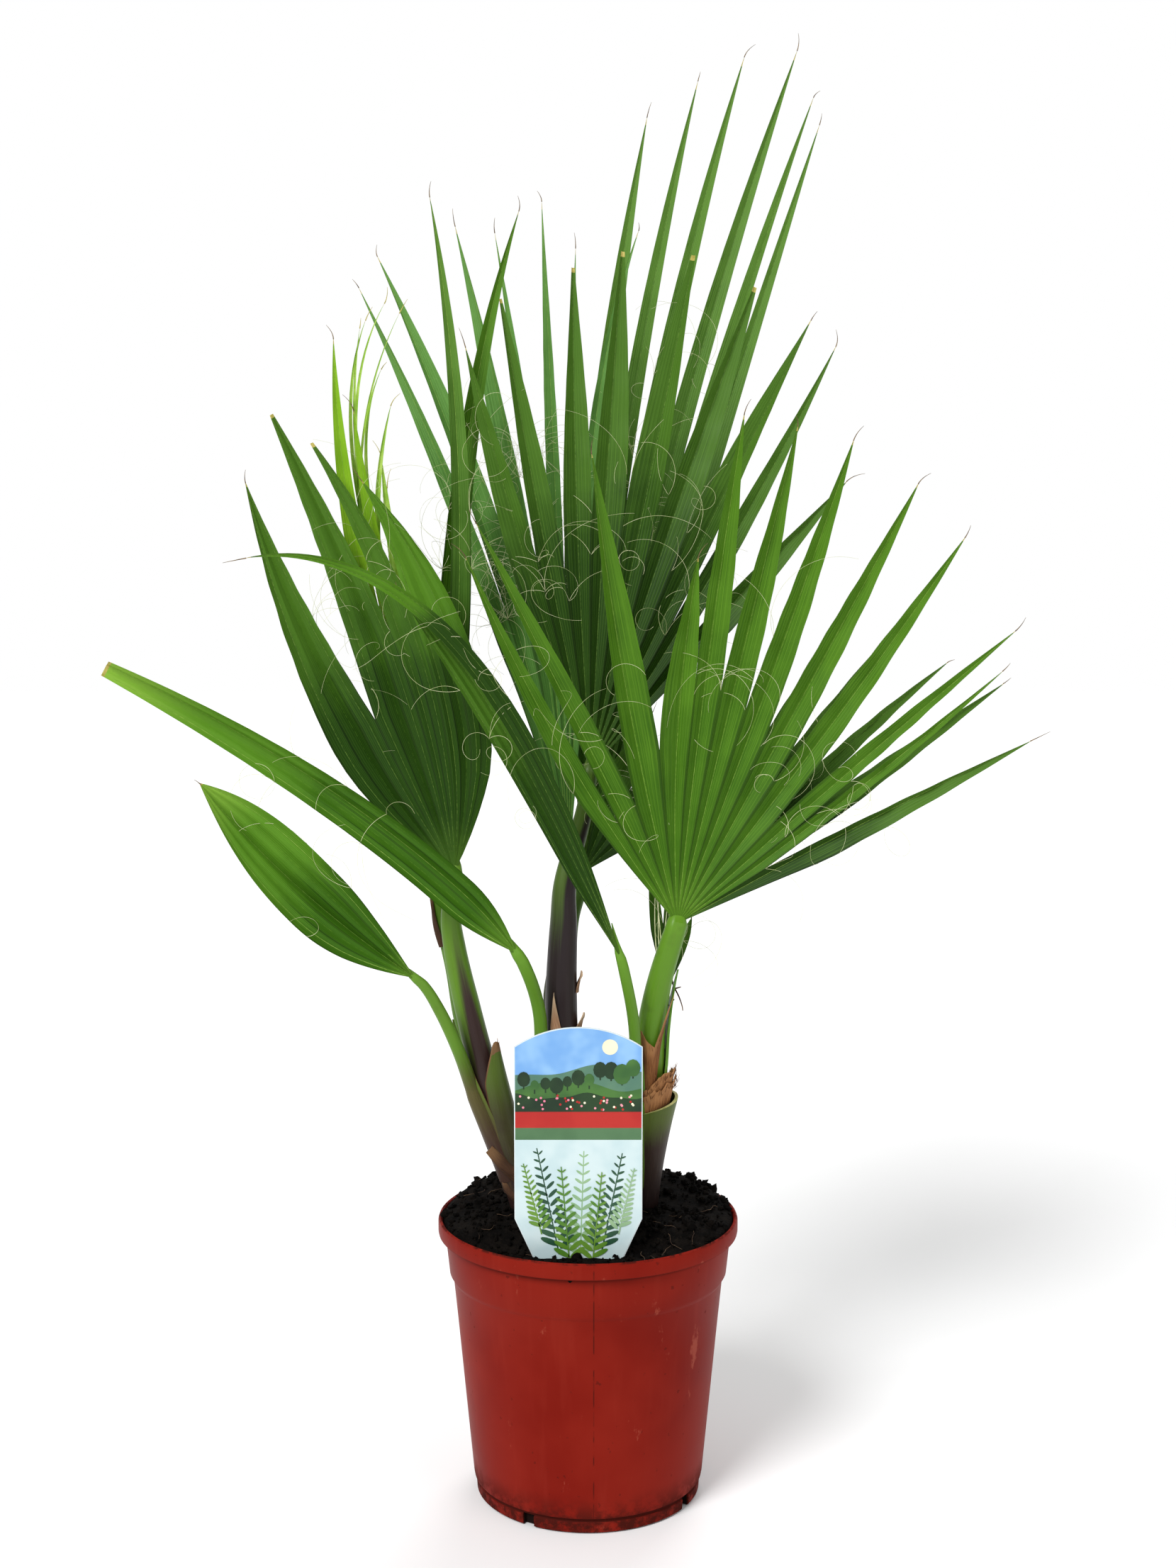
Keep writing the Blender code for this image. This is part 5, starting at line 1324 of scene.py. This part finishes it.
bundle = Bundle()
lower = [(-HALF, LABEL_WAIST), (-HALF_FOOT, LABEL_FOOT), (HALF_FOOT, LABEL_FOOT), (HALF, LABEL_WAIST)]
slab(bundle, lower + arch(0.0), -LABEL_THICKNESS, LABEL_THICKNESS, 0)
card = bundle.piece("label_card", [card_finish("label_board", (0.6, 0.68, 0.7), (0.66, 0.73, 0.74))], "label_card")
modify(card, "BEVEL", width=0.0002, segments=2, limit_method="ANGLE", angle_limit=radians(60))
bpy.ops.object.shade_smooth_by_angle(angle=radians(30))
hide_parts("plant_label")

# %% The print: hills under a sky, two stripes, and sprigs of leaves
PICTURE_FOOT, RED_FOOT, GREEN_FOOT, PANEL_FOOT = 0.251, 0.2415, 0.2345, 0.158
BORDER = 0.0006
EDGE = HALF - BORDER
LAYER = 0.00006
STEM_HALF = 0.0004          # half a printed trunk or stem
INKS = {
    "sky": ((0.16, 0.36, 0.7), (0.26, 0.48, 0.76)),
    "far_hill": ((0.07, 0.17, 0.12), (0.1, 0.21, 0.13)),
    "near_hill": ((0.03, 0.105, 0.022), (0.06, 0.165, 0.03)),
    "dark_green": ((0.006, 0.024, 0.008), (0.014, 0.045, 0.012)),
    "red": ((0.41, 0.014, 0.011), (0.45, 0.02, 0.014)),
    "green": ((0.065, 0.15, 0.065), (0.08, 0.175, 0.078)),
    "panel": ((0.5, 0.64, 0.66), (0.58, 0.7, 0.71)),
    "pink": ((0.72, 0.2, 0.3), (0.78, 0.3, 0.36)),
    "cream": ((0.82, 0.76, 0.52), (0.86, 0.8, 0.6)),
    "sprig": ((0.07, 0.195, 0.018), (0.13, 0.27, 0.03)),
    "deep_sprig": ((0.014, 0.06, 0.03), (0.025, 0.09, 0.04)),
    "pale_sprig": ((0.22, 0.38, 0.2), (0.28, 0.44, 0.24)),
}
ink_order = list(INKS)
prints = Bundle()


def ink(name, outline, level):
    """Print one shape. Each lies a hair in front of the last one of its level, so that none coincide."""
    hair = (len(prints.points) + 1) % 12 / 14
    slab(prints, outline, (level + hair) * LAYER, LAYER, ink_order.index(name))


def box(left, right, foot, top):
    return [(left, foot), (right, foot), (right, top), (left, top)]


def oval(x, z, wide, tall, turn=0.0, steps=12):
    angles = [2 * pi * step / steps for step in range(steps)]
    c, s = cos(radians(turn)), sin(radians(turn))
    return [(x + wide * cos(a) * c - tall * sin(a) * s, z + wide * cos(a) * s + tall * sin(a) * c) for a in angles]


def ridge(height, swell, waves, phase, steps=28):
    """A hill: a wavy upper edge over the picture's foot."""
    outline = [(-EDGE, PICTURE_FOOT), (EDGE, PICTURE_FOOT)]
    for share in np.linspace(1, -1, steps + 1):
        rise = sin(waves * share + phase) + 0.35 * sin(2.3 * waves * share)
        outline.append((EDGE * share, height + swell * rise))
    return outline


ink("sky", [(-EDGE, PICTURE_FOOT), (EDGE, PICTURE_FOOT)] + arch(BORDER), 0)
ink("red", box(-EDGE, EDGE, RED_FOOT, PICTURE_FOOT), 0)
ink("green", box(-EDGE, EDGE, GREEN_FOOT, RED_FOOT), 0)
panel_foot = EDGE - (HALF - HALF_FOOT) / (LABEL_WAIST - LABEL_FOOT) * (LABEL_WAIST - PANEL_FOOT)
ink("panel", [(-EDGE, LABEL_WAIST), (-panel_foot, PANEL_FOOT), (panel_foot, PANEL_FOOT), (EDGE, LABEL_WAIST),
              (EDGE, GREEN_FOOT), (-EDGE, GREEN_FOOT)], 0)
ink("cream", oval(0.018, 0.2885, 0.0045, 0.0045, steps=20), 1)
ink("far_hill", ridge(0.2745, 0.003, 2.4, 0.6), 1)
ink("near_hill", ridge(0.266, 0.0026, 3.1, 2.2), 2)
ink("dark_green", ridge(0.26, 0.0016, 5.0, 0.9), 3)
rng = np.random.default_rng(PRINT_SEED)
for x in np.linspace(-0.031, 0.031, 11):        # trees
    height = 0.265 + rng.uniform(-0.001, 0.004) + 0.006 * (x > 0.012)
    size = rng.uniform(0.0022, 0.004) + 0.0016 * (x > 0.012)
    ink("dark_green", box(x - STEM_HALF, x + STEM_HALF, height - 0.004, height), 3)
    ink(("dark_green", "near_hill")[int(rng.integers(2))], oval(x, height + 0.5 * size, size, 1.2 * size), 4)
for _ in range(46):                             # flowers
    x, z = rng.uniform(-0.034, 0.034), rng.uniform(0.2522, 0.2605)
    ink(("pink", "cream", "red")[int(rng.integers(3))], oval(x, z, 0.0007, 0.0007, steps=8), 5)
SPRIGS = [  # place of the foot, height, lean, largest leaf, ink
    (0.001, 0.166, 0.062, 2, 0.0056, "pale_sprig"), (-0.011, 0.17, 0.061, -12, 0.0058, "deep_sprig"),
    (0.013, 0.17, 0.058, 12, 0.0054, "deep_sprig"), (-0.021, 0.182, 0.04, -15, 0.004, "sprig"),
    (0.023, 0.182, 0.037, 14, 0.004, "pale_sprig"), (-0.005, 0.164, 0.055, -5, 0.0052, "sprig"),
    (0.008, 0.164, 0.052, 6, 0.005, "sprig"),
]
LEAF_PAIRS = 12
for layer, (x, foot, tall, lean, largest, colour) in enumerate(SPRIGS, 1):
    over, up = sin(radians(lean)), cos(radians(lean))
    for step in range(LEAF_PAIRS):
        rise = tall * (step + 0.3) / LEAF_PAIRS
        size = largest * (1 - 0.065 * step)
        for hand in (-1, 1):
            place = (x + rise * over + hand * size * 0.85, foot + rise * up + size * 0.55)
            ink(colour, oval(*place, size, 0.3 * size, hand * 34 - lean), layer)
    ink(colour, [(x - STEM_HALF, foot - 0.003), (x + STEM_HALF, foot - 0.003),
                 (x + 0.0003 + tall * over, foot + tall * up), (x - 0.0003 + tall * over, foot + tall * up)], layer)
ink_finishes = [card_finish(name + "_ink", *colours) for name, colours in INKS.items()]
print_piece = prints.piece("label_print", ink_finishes, "label_card")
print_piece.data.shade_flat()
